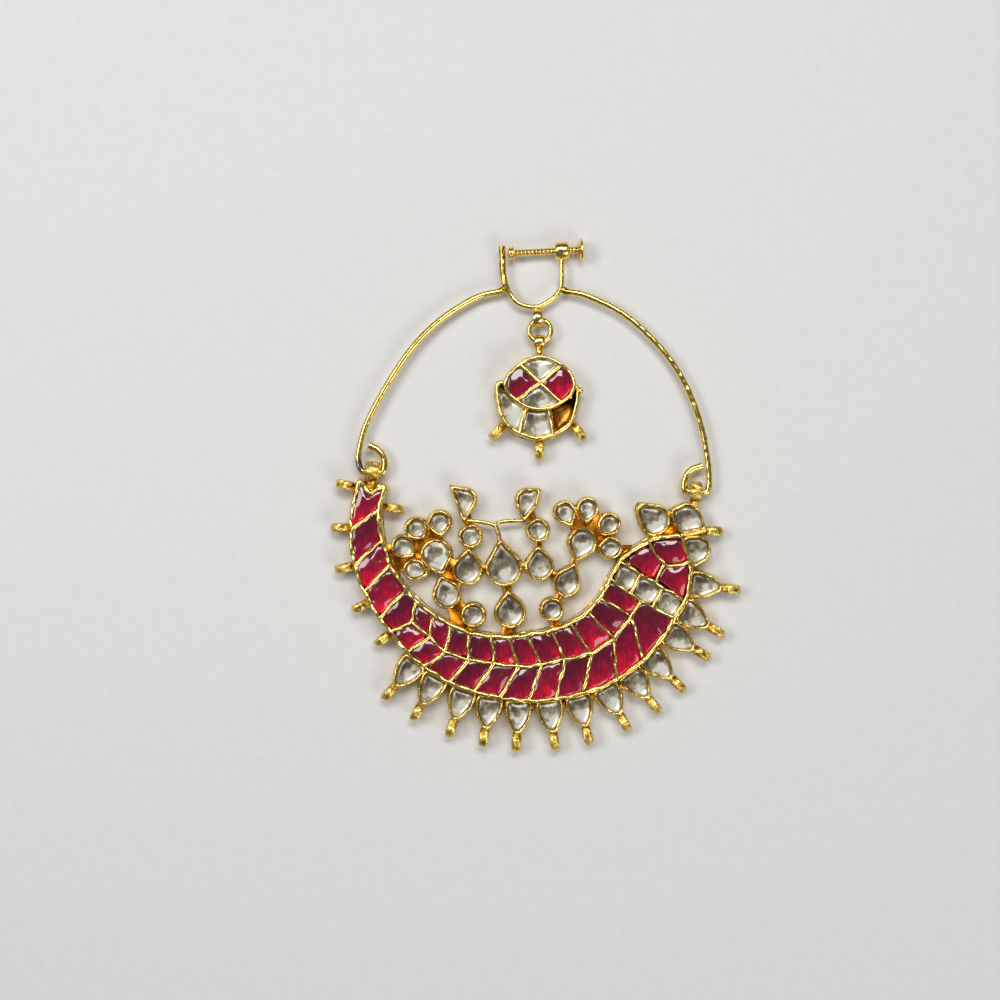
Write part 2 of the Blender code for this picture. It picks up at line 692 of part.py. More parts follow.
def clip_frame():
    """Foot of the clip's left and right leg, its middle and the centre of the hoop."""
    left, right, axis = hinge_line()
    half = (right - left).length / 2
    middle = (left + right) / 2
    hoop = middle + half * Vector((*HOOP_CENTRE, 0.0))
    foot = hoop + Vector((0, CLIP_FOOT_SHARE * half, 0))
    side = Vector((CLIP_WIDTH / 2, 0, 0))
    return foot - side, foot + side, foot, hoop, half


def screw_frame():
    """Middle of the nut and the direction of the screw, outwards."""
    left_foot, right_foot, foot, hoop, half = clip_frame()
    tilt = math.radians(SCREW_TILT)
    axis = Vector((math.cos(tilt), math.sin(tilt), 0))
    return right_foot + Vector((0, SCREW_LEVEL, 0)), axis


def build_hoop(gold):
    """Hoop arms with their hooks, the clip's wire, its nut and the bail, soldered into one piece."""
    left, right, axis = hinge_line()
    left_foot, right_foot, foot, hoop, half = clip_frame()
    upward = Vector((-axis.y, axis.x, 0))
    pin = LUG_WIDTH / 2 + LUG_SIDE_GAP + WIRE_RADIUS
    pieces = []
    for name, lug, way, rows, start in (("left", left, -1, HOOP_LEFT, left_foot),
                                        ("right", right, 1, HOOP_RIGHT, right_foot)):
        points = [start + Vector((0.3 * way * COLLAR_RADIUS, 0, 0))]
        for angle, share in rows:
            turn = math.radians(angle)
            points.append(hoop + share * half * Vector((math.sin(turn), math.cos(turn), 0)))
        hook = [lug + axis * way * pin * along + upward * pin * up for along, up in HOOK]
        path = smooth_path(points + hook[:1], 2) + smooth_path(hook, 2)[1:]
        pieces.append(lofted(f"arm_{name}", wire_rings(path, WIRE_RADIUS, WIRE_SIDES)))
    for name, point in (("left", left_foot), ("right", right_foot)):
        profile = [(-1.3, 0.7), (-0.6, 1.0), (0.6, 1.0), (1.3, 0.7)]
        rows = [(along * COLLAR_RADIUS, radius * COLLAR_RADIUS) for along, radius in profile]
        pieces.append(turned(f"collar_{name}", point, Vector((0, 1, 0.0)), rows, WIRE_SIDES))
    nut, screw = screw_frame()
    leg_top = nut - Vector((0, (SCREW_RADIUS + NUT_RADIUS) / 2, 0))
    curve = [foot + Vector((CLIP_WIDTH / 2 * side, CLIP_DROP * drop, 0)) for side, drop in CLIP_CURVE]
    clip = [left_foot + Vector((0, CLIP_LEG, 0)), left_foot] + smooth_path(curve, 2) + [right_foot, leg_top]
    pieces.append(lofted("clip_wire", wire_rings(clip, CLIP_WIRE, WIRE_SIDES)))
    pieces.append(eye("nut", nut, screw, NUT_RADIUS, SCREW_RADIUS + SCREW_CLEARANCE, NUT_WIDTH, ROUND_SIDES))
    pieces.append(eye("bail", bail_centre(), Vector((1, 0, 0)), BAIL_RADIUS,
                      BAIL_RADIUS - BAIL_THICKNESS, BAIL_WIDTH, ROUND_SIDES))
    return joined("hoop_clip", pieces, gold)


def bail_centre():
    """Middle of the bail under the clip's wire."""
    left_foot, right_foot, foot, hoop, half = clip_frame()
    return foot - Vector((-BAIL_SHIFT, CLIP_DROP + CLIP_WIRE + BAIL_RADIUS - BAIL_SINK, 0))


def ring_centre():
    """Middle of the jump ring, whose wire lies in the lower part of the bail's hole."""
    return bail_centre() - Vector((-RING_SHIFT, RING_RADIUS + RING_SAG, 0))


def pendant_eye_centre():
    """Middle of the pendant's upper eye, with the jump ring's wire through its hole."""
    return ring_centre() - Vector((0, RING_RADIUS, 0))


def build_ring(gold):
    """Jump ring between the bail and the pendant."""
    centre = ring_centre()
    path = []
    for step in range(14):
        turn = 2 * math.pi * step / 14
        path.append(centre + RING_RADIUS * Vector((math.cos(turn), math.sin(turn), 0)))
    ring = looped("jump_ring", wire_rings(path, RING_WIRE, 6, closed=True))
    ring.data.materials.append(gold)
    return ring


def build_screw(gold):
    """The clip's screw with its thumb disc, and the pad on its inner end."""
    nut, axis = screw_frame()
    left_foot, right_foot, foot, hoop, half = clip_frame()
    leg_face = left_foot.x + CLIP_WIRE - nut.x
    pad_start = leg_face + PAD_GAP
    pad_end = pad_start + PAD_THICKNESS
    thumb = NUT_WIDTH / 2 + THUMB_GAP
    screw = turned("clip_screw", nut, axis, [
        (pad_end + PAD_JOINT, SCREW_RADIUS),
        (thumb, SCREW_RADIUS),
        (thumb, 0.85 * THUMB_RADIUS),
        (thumb + 0.4 * THUMB_THICKNESS, THUMB_RADIUS),
        (thumb + THUMB_THICKNESS, THUMB_RADIUS),
        (thumb + 0.7 * THUMB_THICKNESS, 0.5 * THUMB_RADIUS),
    ], 16)
    pad = turned("clip_pad", nut, axis, [
        (pad_start, 0.92 * PAD_RADIUS), (pad_start + 0.2 * PAD_THICKNESS, PAD_RADIUS),
        (pad_end - 0.2 * PAD_THICKNESS, PAD_RADIUS), (pad_end, 0.92 * PAD_RADIUS)], 12)
    for thing in (screw, pad):
        thing.data.materials.append(gold)
    return [screw, pad]


def build_pendant(gold, ruby, white):
    """Pendant: an oval box with crossed walls over a lower crescent, with its stones."""
    eye_centre = pendant_eye_centre()
    middle = eye_centre.xy - Vector((0, PENDANT_HALF_HEIGHT + PENDANT_EYE_RADIUS + PENDANT_NECK))

    def share_at(rows, angle):
        for near, far in zip(rows, rows[1:]):
            if near[0] <= angle <= far[0]:
                return near[1] + (far[1] - near[1]) * (angle - near[0]) / (far[0] - near[0])
        return rows[-1][1]

    def oval(angle, factor=1.0):
        turn = math.radians(angle)
        reach = Vector((PENDANT_HALF_WIDTH * math.sin(turn), PENDANT_HALF_HEIGHT * math.cos(turn)))
        return middle + factor * share_at(DISC_RIM, angle % 360) * reach

    def bowl(angle, share):
        turn = math.radians(angle)
        return middle + share * PENDANT_HALF_WIDTH * Vector((math.sin(turn), -math.cos(turn)))

    disc_pockets = {}
    for name, start, end in DISC_CELLS:
        steps = 5
        arc = [oval(start + (end - start) * step / steps, 1 - RIM_STEP / PENDANT_HALF_HEIGHT)
               for step in range(steps, -1, -1)]
        wedge = inset([middle] + arc, CELL_WALL / 2)
        disc_pockets[name] = cut_corners(wedge, CORNER_CUT / 2)
    bowl_pockets = {}
    for name, start, end in BOWL_CELLS:
        angles = [start + (end - start) * step / 3 for step in range(4)]
        outer = [bowl(angle, share_at(PENDANT_BOWL, angle) - RIM_WALL / PENDANT_HALF_WIDTH) for angle in angles]
        edge = [oval(180 - angle, 1 + STONE_GAP / PENDANT_HALF_HEIGHT) for angle in reversed(angles)]
        bowl_pockets[name] = cut_corners(outer + edge, CORNER_CUT / 2)
    outline = [bowl(angle, share) for angle, share in PENDANT_BOWL]
    under = 1 - RIM_WALL / 2 / PENDANT_HALF_HEIGHT
    outline += [oval(180 - angle, under) for angle, share in reversed(PENDANT_BOWL)]
    lower = box_setting("pendant_bowl", outline, bowl_pockets.values(), (0.0, BACK_PLATE, PENDANT_BOWL_TOP),
                        SIDE_FLARE)
    disc_floor = PENDANT_TOP - PENDANT_BOWL_TOP + BACK_PLATE
    upper = box_setting("pendant_disc", [oval(angle) for angle, share in reversed(DISC_RIM[1:])],
                        disc_pockets.values(), (PENDANT_LIFT, disc_floor, PENDANT_TOP), 0.0)
    pieces = [upper, lower]
    pieces.append(eye("pendant_eye", eye_centre, Vector((1, 0, 0)), PENDANT_EYE_RADIUS,
                      PENDANT_EYE_RADIUS - PENDANT_EYE_THICKNESS, PENDANT_EYE_WIDTH, ROUND_SIDES))
    sunk = PENDANT_EYE_THICKNESS / 2
    neck = [(PENDANT_EYE_RADIUS - sunk, PENDANT_NECK_RADIUS),
            (PENDANT_EYE_RADIUS + PENDANT_NECK + sunk, PENDANT_NECK_RADIUS)]
    pieces.append(turned("pendant_neck", eye_centre, Vector((0, -1, 0.0)), neck, WIRE_SIDES))
    for number, (angle, share) in enumerate(PENDANT_EYES):
        pieces.append(stand_eye(f"pendant_eye_{number}", bowl(angle, share), away(angle)))
    setting = joined("pendant_setting", pieces, gold)
    stones = [cut_stone(name, pocket, disc_floor, PENDANT_TOP, ruby if "ruby" in name else white)
              for name, pocket in disc_pockets.items()]
    stones += [cut_stone(name, pocket, BACK_PLATE, PENDANT_BOWL_TOP, white)
               for name, pocket in bowl_pockets.items() if name]
    return [setting] + stones


def hung_on(name, place, things):
    """Empty on a joint's axis that carries the things that move with it."""
    empty = bpy.data.objects.new(name, None)
    empty.location = place
    bpy.context.collection.objects.link(empty)
    bpy.context.view_layer.update()
    for thing in things:
        thing.parent = empty
        thing.matrix_parent_inverse = empty.matrix_world.inverted()


def main():
    """Clear the scene and build the jewel."""
    for thing in list(bpy.data.objects):
        bpy.data.objects.remove(thing)
    gold = material("gold", (0.83, 0.62, 0.20), 1.0, 0.3)
    ruby = material("ruby", (0.42, 0.01, 0.06), 0.0, 0.08)
    white = material("white_stone", (0.72, 0.70, 0.62), 0.0, 0.05)
    crescent = build_crescent(gold, ruby, white)
    build_hoop(gold)
    build_ring(gold)
    build_pendant(gold, ruby, white)
    screw = build_screw(gold)
    left, right, axis = hinge_line()
    hung_on("crescent_hinge", (left + right) / 2, crescent)
    hung_on("screw_axis", screw_frame()[0], screw)
    for thing in bpy.data.objects:
        if thing.type == "MESH":
            thing.data.shade_smooth()
            thing.data.set_sharp_from_angle(angle=math.radians(35))


main()
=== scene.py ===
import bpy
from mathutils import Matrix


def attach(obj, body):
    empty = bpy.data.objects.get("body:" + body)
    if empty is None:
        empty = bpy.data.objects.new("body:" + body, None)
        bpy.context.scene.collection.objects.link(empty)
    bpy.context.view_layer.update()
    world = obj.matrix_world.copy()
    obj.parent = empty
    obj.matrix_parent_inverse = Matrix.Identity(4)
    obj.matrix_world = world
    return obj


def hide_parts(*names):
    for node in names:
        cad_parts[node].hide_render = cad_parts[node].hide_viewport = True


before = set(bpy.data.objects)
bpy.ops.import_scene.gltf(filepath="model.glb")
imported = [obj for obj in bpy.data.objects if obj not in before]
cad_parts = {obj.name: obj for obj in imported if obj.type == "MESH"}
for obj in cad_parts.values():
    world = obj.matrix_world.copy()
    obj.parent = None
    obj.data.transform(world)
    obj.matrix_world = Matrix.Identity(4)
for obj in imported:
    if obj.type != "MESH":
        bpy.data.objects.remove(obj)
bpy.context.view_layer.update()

# %% [markdown]
# # A nose ring with a swinging crescent
# The jewel lies on its back under the camera. Gold boxes hold flat rubies and foil-backed
# white stones, a wire hoop carries a screw clip, and a small pendant lies below the clip.
# The frame gives the exact solids. Every piece here is a surface worked out with numpy, so
# that walls can wander and wires can twist as they do when they are made by hand. All sizes
# below are in millimetres, and a mesh is scaled to metres when it is built.

# %% Libraries and units
import math

import bpy
import numpy as np
from mathutils.geometry import convex_hull_2d

MILLIMETRE = 0.001


def node_points(name):
    """Vertices of a CAD node in millimetres."""
    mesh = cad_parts[name].data
    points = np.empty(len(mesh.vertices) * 3)
    mesh.vertices.foreach_get("co", points)
    return points.reshape(-1, 3) / MILLIMETRE


crescent_points = node_points("crescent_setting")
print("Crescent box:", crescent_points.min(0).round(1), crescent_points.max(0).round(1))

# %% [markdown]
# ## Hand-made unevenness
# Nothing on the jewel is ruler-straight: each wall was rolled and pushed against its stone.
# A sum of sine waves in random but seeded directions gives a smooth, repeatable wobble that
# can be asked for at any point in space.

# %% Smooth unevenness
def wobble(points, size, seed):
    """Noise of about -1 to 1: a third of the sum of nine sin(2 pi d . p / length + phase)."""
    source = np.random.default_rng(seed)
    ways = source.normal(size=(9, 3))
    lengths = size * source.uniform(0.6, 1.7, size=(9, 1))
    ways *= 2 * np.pi / lengths / np.linalg.norm(ways, axis=1, keepdims=True)
    phases = source.uniform(0, 2 * np.pi, size=9)
    return np.sin(points @ ways.T + phases).sum(axis=-1) / 3


print("Wobble at the origin:", wobble(np.zeros(3), 2.0, 1).round(3))

# %% [markdown]
# ## Skins
# Every piece is a closed skin over a grid of points: rings of points, joined ring to ring.
# A ring grid closes round itself, and its ends are capped, or its last ring meets its first.
# Each point also carries three marks for the materials: its tone, from a deep recess at 0
# to a worn crest at 1, how near it is to an edge, and a number that differs between stones.
# On gold a low tone is dark patina and painted shade; on stones the tone is painted light.

# %% Closed skin over a grid of points
def outward(points, quads, caps):
    """Faces turned outwards by the sign of the volume: the sum of a . (b x c) of triangles."""
    corners = points[quads] - points.mean(0)
    triangles = [corners[:, [0, 1, 2]], corners[:, [0, 2, 3]]]
    for cap in caps:
        fan = points[cap] - points.mean(0)
        first = np.broadcast_to(fan[0], fan[1:-1].shape)
        triangles.append(np.stack([first, fan[1:-1], fan[2:]], 1))
    triangles = np.concatenate(triangles)
    volume = (triangles[:, 0] * np.cross(triangles[:, 1], triangles[:, 2])).sum()
    if volume > 0:
        return quads, caps
    return quads[:, ::-1], [cap[::-1] for cap in caps]


def skin(rings, loop=False, tone=1.0, edge=0.0, lot=0.0):
    """Skin over rings[i, j], closed round in j: faces (i, j), (i+1, j), (i+1, j+1), (i, j+1)."""
    rows, count = rings.shape[:2]
    index = np.arange(rows * count).reshape(rows, count)
    walk = np.vstack([index, index[:1]]) if loop else index
    near, far = walk[:-1], walk[1:]
    quads = np.stack([near, far, np.roll(far, -1, 1), np.roll(near, -1, 1)], -1).reshape(-1, 4)
    caps = [] if loop else [index[0], index[-1][::-1]]
    points = rings.reshape(-1, 3)
    quads, caps = outward(points, quads, caps)
    marks = np.stack([np.broadcast_to(mark, (rows, count)) for mark in (tone, edge, lot)], -1)
    return points, quads, caps, marks.reshape(-1, 3)


print("Faces of a test skin:", len(skin(np.random.default_rng(0).uniform(size=(3, 4, 3)))[1]))

# %% Mesh object from skins
triangle_count = 0


def piece(name, skins, material, body, stands_for=(), sharp=50):
    """Mesh object from skins, on a body, with smooth faces up to a sharp angle in degrees."""
    global triangle_count
    starts = np.cumsum([0] + [len(part[0]) for part in skins])
    points = np.concatenate([part[0] for part in skins]) * MILLIMETRE
    faces = np.concatenate([part[1] + start for part, start in zip(skins, starts)]).tolist()
    faces += [(cap + start).tolist() for part, start in zip(skins, starts) for cap in part[2]]
    mesh = bpy.data.meshes.new(name)
    mesh.from_pydata(points.tolist(), [], faces)
    marks = mesh.attributes.new("marks", "FLOAT_VECTOR", "POINT")
    marks.data.foreach_set("vector", np.concatenate([part[3] for part in skins]).ravel())
    mesh.materials.append(material)
    mesh.shade_smooth()
    mesh.set_sharp_from_angle(angle=math.radians(sharp))
    thing = bpy.data.objects.new(name, mesh)
    bpy.context.scene.collection.objects.link(thing)
    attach(thing, body)
    if stands_for:
        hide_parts(*stands_for)
    triangles = sum(len(face) - 2 for face in faces)
    triangle_count += triangles
    print(f"{name}: {len(skins)} skins, {triangles} triangles")


print("Triangles so far:", triangle_count)

# %% [markdown]
# ## Paths and sections
# A goldsmith starts from wire and strip. So do these helpers: a path at even steps, a smooth
# curve through a few points, a round wire along a path, and a shape turned about an axis.

# %% Paths
def along(points, step=0.25, passes=2, closed=False):
    """Path at even steps, eased: each pass sets p_i to (p_i-1 + 2 p_i + p_i+1) / 4."""
    points = np.asarray(points, float)
    track = np.vstack([points, points[:1]]) if closed else points
    length = np.concatenate([[0], np.cumsum(np.linalg.norm(np.diff(track, axis=0), axis=1))])
    count = max(6, int(length[-1] / step))
    stops = np.linspace(0, length[-1], count + (not closed), endpoint=not closed)
    path = np.stack([np.interp(stops, length, column) for column in track.T], 1)
    for _ in range(passes):
        if closed:
            path = (np.roll(path, 1, 0) + 2 * path + np.roll(path, -1, 0)) / 4
        else:
            path[1:-1] = (path[:-2] + 2 * path[1:-1] + path[2:]) / 4
    return path


def curve(points, steps=6):
    """Catmull-Rom curve from b to c, where a comes before them and d after:
    (2b + (c - a) t + (2a - 5b + 4c - d) t^2 + (3b - a - 3c + d) t^3) / 2."""
    points = np.asarray(points, float)
    ends = np.vstack([2 * points[0] - points[1], points, 2 * points[-1] - points[-2]])[:, None, :]
    a, b, c, d = ends[:-3], ends[1:-2], ends[2:-1], ends[3:]
    t = (np.arange(steps) / steps)[None, :, None]
    square, cube = 2 * a - 5 * b + 4 * c - d, 3 * b - a - 3 * c + d
    path = (2 * b + (c - a) * t + square * t**2 + cube * t**3) / 2
    return np.vstack([path.reshape(-1, points.shape[1]), points[-1:]])


def at_height(path, height):
    """Path in the jewel's plane, lifted to a height."""
    return np.column_stack([path, np.broadcast_to(height, len(path))])


def forward_of(path, closed):
    """Unit direction of travel at each point of a path."""
    ahead = np.roll(path, -1, 0) - np.roll(path, 1, 0) if closed else np.gradient(path, axis=0)
    return ahead / np.linalg.norm(ahead, axis=1, keepdims=True)


def eased(path, stops, values):
    """Number at each point of a path, straight between stops that are shares of its points."""
    return np.interp(np.linspace(0, 1, len(path)), stops, values)[:, None]


print("Steps on a test path:", len(along([(0, 0), (10, 0)])))

# %% Wires and turned shapes
UP = (0.0, 0.0, 1.0)
BAND_SIDES = 14


def wire(path, radius, sides=10, closed=False):
    """Rings of a wire: p(s) + r (cos a side(s) + sin a top(s)), where side is forward x up."""
    forward = forward_of(path, closed)
    side = np.cross(forward, UP)
    side /= np.linalg.norm(side, axis=1, keepdims=True)
    top = np.cross(side, forward)
    turn = 2 * np.pi * (np.arange(sides) + 0.5) / sides
    spokes = np.cos(turn)[:, None] * side[:, None] + np.sin(turn)[:, None] * top[:, None]
    return path[:, None] + np.broadcast_to(radius, (len(path), sides))[..., None] * spokes


def turned(centre, axis, profile, sides):
    """Rings about an axis: c + axis x + r(x) (cos a across + sin a up), for rows of x and r."""
    axis = np.asarray(axis, float)
    across = np.cross(axis, UP)
    across /= np.linalg.norm(across)
    up = np.cross(across, axis)
    turn = 2 * np.pi * (np.arange(sides) + 0.5) / sides
    spokes = np.cos(turn)[:, None] * across + np.sin(turn)[:, None] * up
    profile = np.asarray(profile, float)
    return centre + profile[:, :1, None] * axis + profile[:, 1:, None] * spokes


def band(centre, axis, hole, outer, width, sides, squareness=3.0):
    """Ring of thick strip about a level axis, whose section is |x / a|^n + |y / b|^n = 1."""
    turn = 2 * np.pi * (np.arange(BAND_SIDES) + 0.5) / BAND_SIDES
    ease = 2 / squareness
    across = width / 2 * np.sign(np.cos(turn)) * np.abs(np.cos(turn)) ** ease
    rise = (outer - hole) / 2 * np.sign(np.sin(turn)) * np.abs(np.sin(turn)) ** ease
    section = np.stack([across, (outer + hole) / 2 + rise], -1)
    return turned(centre, axis, section, sides).transpose(1, 0, 2)


print("Rings of a test wire:", len(wire(at_height(along([(0, 0), (10, 0)]), 0.0), 0.5)))

# %% [markdown]
# ## Gold
# High-carat gold is rich yellow where a crest is rubbed bright, and brown where dirt and old
# polish stay in the corners; its near-black at the feet of walls and in recesses is painted
# shade as well. The marks on the mesh say which is which, and noise breaks it up. Bump gives
# the small hammer and file marks, and roughness changes with them.

# %% Node helpers
STREAK_TURN = 0.8


def new_material(name):
    """Material with an empty Principled shader, and its node tree."""
    material = bpy.data.materials.new(name)
    material.use_nodes = True
    return material, material.node_tree, material.node_tree.nodes["Principled BSDF"]


def wired(tree, node, inputs):
    """Node with its inputs set, or linked where the value is a socket."""
    for name, value in inputs.items():
        if isinstance(value, bpy.types.NodeSocket):
            tree.links.new(value, node.inputs[name])
        else:
            node.inputs[name].default_value = value
    return node


def noise(tree, size, detail=3.0, roughness=0.6, stretch=(1.0, 1.0, 1.0)):
    """Noise on Object coordinates, with features of a size in millimetres, or streaks."""
    place = tree.nodes.new("ShaderNodeTexCoord").outputs["Object"]
    mapping = wired(tree, tree.nodes.new("ShaderNodeMapping"),
                    {"Vector": place, "Rotation": (0.0, 0.0, STREAK_TURN), "Scale": stretch})
    texture = wired(tree, tree.nodes.new("ShaderNodeTexNoise"),
                    {"Vector": mapping.outputs["Vector"], "Scale": 1 / (size * MILLIMETRE),
                     "Detail": detail, "Roughness": roughness})
    return texture.outputs["Fac"]


def mark(tree, which):
    """One of the mesh's marks: 0 is tone, 1 is edge, 2 is the lot."""
    attribute = tree.nodes.new("ShaderNodeAttribute")
    attribute.attribute_name = "marks"
    marks = {"Vector": attribute.outputs["Vector"]}
    return wired(tree, tree.nodes.new("ShaderNodeSeparateXYZ"), marks).outputs[which]


def ramp(tree, value, *stops):
    """Colours along a value, from rows of position and colour."""
    node = tree.nodes.new("ShaderNodeValToRGB")
    node.color_ramp.elements.remove(node.color_ramp.elements[1])
    node.color_ramp.elements[0].position = stops[0][0]
    node.color_ramp.elements[0].color = (*stops[0][1], 1.0)
    for position, colour in stops[1:]:
        node.color_ramp.elements.new(position).color = (*colour, 1.0)
    return wired(tree, node, {"Fac": value}).outputs["Color"]


def spread(tree, value, low, high, start=0.35, end=0.65):
    """Value stretched from a range to another."""
    ranges = {"Value": value, "From Min": start, "From Max": end, "To Min": low, "To Max": high}
    return wired(tree, tree.nodes.new("ShaderNodeMapRange"), ranges).outputs["Result"]


def added(tree, total, *values):
    """Sum of values."""
    for value in values:
        node = tree.nodes.new("ShaderNodeMath")
        node.operation = "ADD"
        total = wired(tree, node, {0: total, 1: value}).outputs[0]
    return total


def mixed(tree, factor, first, second):
    """Colour that goes over to a fixed second colour by a factor."""
    node = tree.nodes.new("ShaderNodeMix")
    node.data_type = "RGBA"
    inputs = {"Factor": factor, "A": first, "B": (*second, 1.0)}
    return wired(tree, node, inputs).outputs["Result"]


def bump(tree, height, strength, depth):
    """Normal of a small relief, depth in millimetres."""
    relief = {"Height": height, "Strength": strength, "Distance": depth * MILLIMETRE}
    return wired(tree, tree.nodes.new("ShaderNodeBump"), relief).outputs["Normal"]


print("Materials so far:", len(bpy.data.materials))

# %% Gold materials
SOLDER_GREY = (0.22, 0.21, 0.20)


def gold_material(name, crest, body, recess, rough, grain, relief):
    """Gold that follows the tone mark and noise, with solder where the edge mark is high."""
    material, tree, shader = new_material(name)
    patches = noise(tree, 1.6)
    fine = noise(tree, grain, 4.0, 0.65)
    tone = added(tree, mark(tree, 0), spread(tree, patches, -0.22, 0.22))
    # A low tone darkens the gold towards its recesses, as patina and as painted shade
    colour = ramp(tree, tone, (0.0, recess), (0.42, body), (0.95, crest))
    wired(tree, shader, {"Base Color": mixed(tree, mark(tree, 1), colour, SOLDER_GREY),
                         "Metallic": 1.0, "Roughness": spread(tree, fine, *rough),
                         "Normal": bump(tree, fine, 0.7, relief)})
    return material


# Colours of crest, body and recess (patina and painted shade), roughness from and to, and
# millimetres of grain and relief
GOLDS = {
    "box": ((1.0, 0.76, 0.24), (0.66, 0.41, 0.07), (0.06, 0.03, 0.006), (0.14, 0.34), 0.6, 0.035),
    "plate": ((0.74, 0.31, 0.035), (0.44, 0.16, 0.015), (0.14, 0.04, 0.006), (0.2, 0.42), 0.6, 0.05),
    "cell": ((0.95, 0.45, 0.05), (0.24, 0.11, 0.02), (0.06, 0.03, 0.006), (0.28, 0.5), 0.6, 0.05),
    "wire": ((1.0, 0.75, 0.23), (0.85, 0.57, 0.13), (0.25, 0.13, 0.02), (0.12, 0.26), 0.4, 0.02),
    "lug": ((1.0, 0.76, 0.24), (0.74, 0.47, 0.09), (0.20, 0.10, 0.015), (0.16, 0.42), 0.3, 0.14),
}
golds = [gold_material(f"{name}_gold", *row) for name, row in GOLDS.items()]
box_gold, plate_gold, cell_gold, wire_gold, lug_gold = golds
print("Gold materials:", [gold.name for gold in golds])

# %% [markdown]
# ## Rubies and foil-backed white stones
# The rubies are flat slices over bright foil, and their colour holds painted light: near
# black-red towards the upper left, where they would turn from the light, and glowing red
# towards the lower right, where light would come back from the foil, with cloudy streaks
# inside. The white stones are old flat cuts over silver foil, grey with facets of painted
# lighter and darker reflection, a painted glint and a warm rim where gold shows through.
# A clear coat gives both their polished face.

# %% Stone materials
FACET_SIZE = 1.0
WARM_RIM = (0.32, 0.18, 0.03)


def ruby_material():
    """Ruby over foil, its colour painted light that follows the tone mark and cloudy streaks."""
    material, tree, shader = new_material("ruby")
    clouds = spread(tree, noise(tree, 1.3, 5.0, 0.7), -0.16, 0.16)
    streaks = spread(tree, noise(tree, 0.9, 4.0, 0.65, (2.6, 0.5, 1.0)), -0.15, 0.15)
    own = spread(tree, mark(tree, 2), -0.15, 0.15, 0.0, 1.0)
    painted_glow = added(tree, mark(tree, 0), clouds, streaks, own)
    colour = ramp(tree, painted_glow, (0.0, (0.07, 0.003, 0.014)), (0.35, (0.15, 0.001, 0.020)),
                  (0.65, (0.30, 0.001, 0.028)), (0.85, (0.55, 0.001, 0.028)),
                  (1.0, (0.88, 0.003, 0.026)))
    wired(tree, shader, {"Base Color": colour, "Roughness": 0.30, "Specular IOR Level": 0.1,
                         "Coat Weight": 1.0, "Coat Roughness": 0.06, "Coat IOR": 1.7,
                         "Normal": bump(tree, noise(tree, 0.8, 2.0), 0.35, 0.05)})
    return material


def white_material():
    """Flat-cut white stone over silver foil, with painted light in facets of different greys, and a
    warm rim.
    """
    material, tree, shader = new_material("white_stone")
    place = tree.nodes.new("ShaderNodeTexCoord").outputs["Object"]
    facets = tree.nodes.new("ShaderNodeTexVoronoi")
    facets.feature = "SMOOTH_F1"
    wired(tree, facets, {"Vector": place, "Smoothness": 0.35,
                         "Scale": 1 / (FACET_SIZE * MILLIMETRE)})
    split = wired(tree, tree.nodes.new("ShaderNodeSeparateColor"), {0: facets.outputs["Color"]})
    # Painted light sets the grey: the tone mark's gradient and glint, and painted facet reflections
    light = added(tree, mark(tree, 0), spread(tree, split.outputs[0], -0.26, 0.26, 0.0, 1.0),
                  spread(tree, noise(tree, 0.7), -0.12, 0.12))
    grey = ramp(tree, light, (0.0, (0.08, 0.062, 0.042)), (0.3, (0.23, 0.19, 0.125)),
                (0.6, (0.48, 0.415, 0.295)), (0.78, (0.84, 0.76, 0.59)), (0.94, (1.0, 0.97, 0.86)))
    rim = spread(tree, mark(tree, 1), 0.0, 0.75, 0.84, 1.0)
    wired(tree, shader, {"Base Color": mixed(tree, rim, grey, WARM_RIM), "Metallic": 0.35,
                         "Roughness": 0.26, "Coat Weight": 0.6, "Coat Roughness": 0.06})
    return material


ruby = ruby_material()
white_stone = white_material()
print("Stone materials:", ruby.name, white_stone.name)

# %% [markdown]
# ## The crescent's plan
# The crescent is a box of thin gold sheet, divided by walls. Its plan is a table of walls,
# each given by angles from straight down and shares of the radius about the arc's centre.
# The same tables shape the solids in the frame, so the walls stand round their stones.

# %% Plan of the crescent
RADIUS = 28.4
ARC_CENTRE = 22.947
CREST = 3.6
FLOOR = 0.8
WALL_HALF = 0.33

#   outer_deg  outer_share  inner_deg  inner_share
TAIL_WALLS = np.array([
    (-106.6, 0.994, -107.5, 0.841),
    (-89.8, 1.000, -97.9, 0.845),
    (-77.9, 1.000, -85.4, 0.823),
    (-68.5, 0.988, -75.0, 0.801),
    (-58.3, 0.980, -62.7, 0.770)
])
TAIL_NOTCH = (-102.7, 0.913)
#   inner_deg  inner_share  rib_deg  rib_share  outer_deg  outer_share
ROW_WALLS = np.array([
    (-56.0, 0.747, -50.0, 0.847, -52.2, 0.971),
    (-46.5, 0.725, -40.9, 0.831, -43.2, 0.980),
    (-36.9, 0.698, -32.2, 0.849, -35.8, 0.988),
    (-27.6, 0.680, -22.6, 0.820, -25.5, 0.988),
    (-16.2, 0.651, -12.1, 0.797, -16.8, 0.988),
    (-7.6, 0.638, -1.8, 0.802, -8.0, 0.991),
    (2.1, 0.617, 7.7, 0.797, 1.8, 1.000),
    (15.2, 0.612, 17.9, 0.797, 11.0, 1.006),
    (27.0, 0.617, 28.7, 0.826, 20.2, 1.017),
    (37.7, 0.610, 40.0, 0.823, 32.0, 1.032),
    (48.4, 0.601, 51.1, 0.806, 42.4, 1.035),
    (60.1, 0.583, 58.6, 0.804, 59.3, 1.019)
])
#   share  lower_deg  upper_deg
BAND_WALLS = np.array([
    (0.600, 60.1, 71.4), (0.731, 59.1, 68.8),
    (0.877, 58.8, 67.3), (1.019, 59.3, 66.1)
])
# Upper rim of the head, as shares across and up from the arc's centre
HEAD_RIM = [(0.948, -0.413), (0.965, -0.330), (0.976, -0.235), (0.965, -0.196), (0.926, -0.047),
            (0.841, -0.040), (0.756, -0.058), (0.684, -0.095), (0.581, -0.163)]
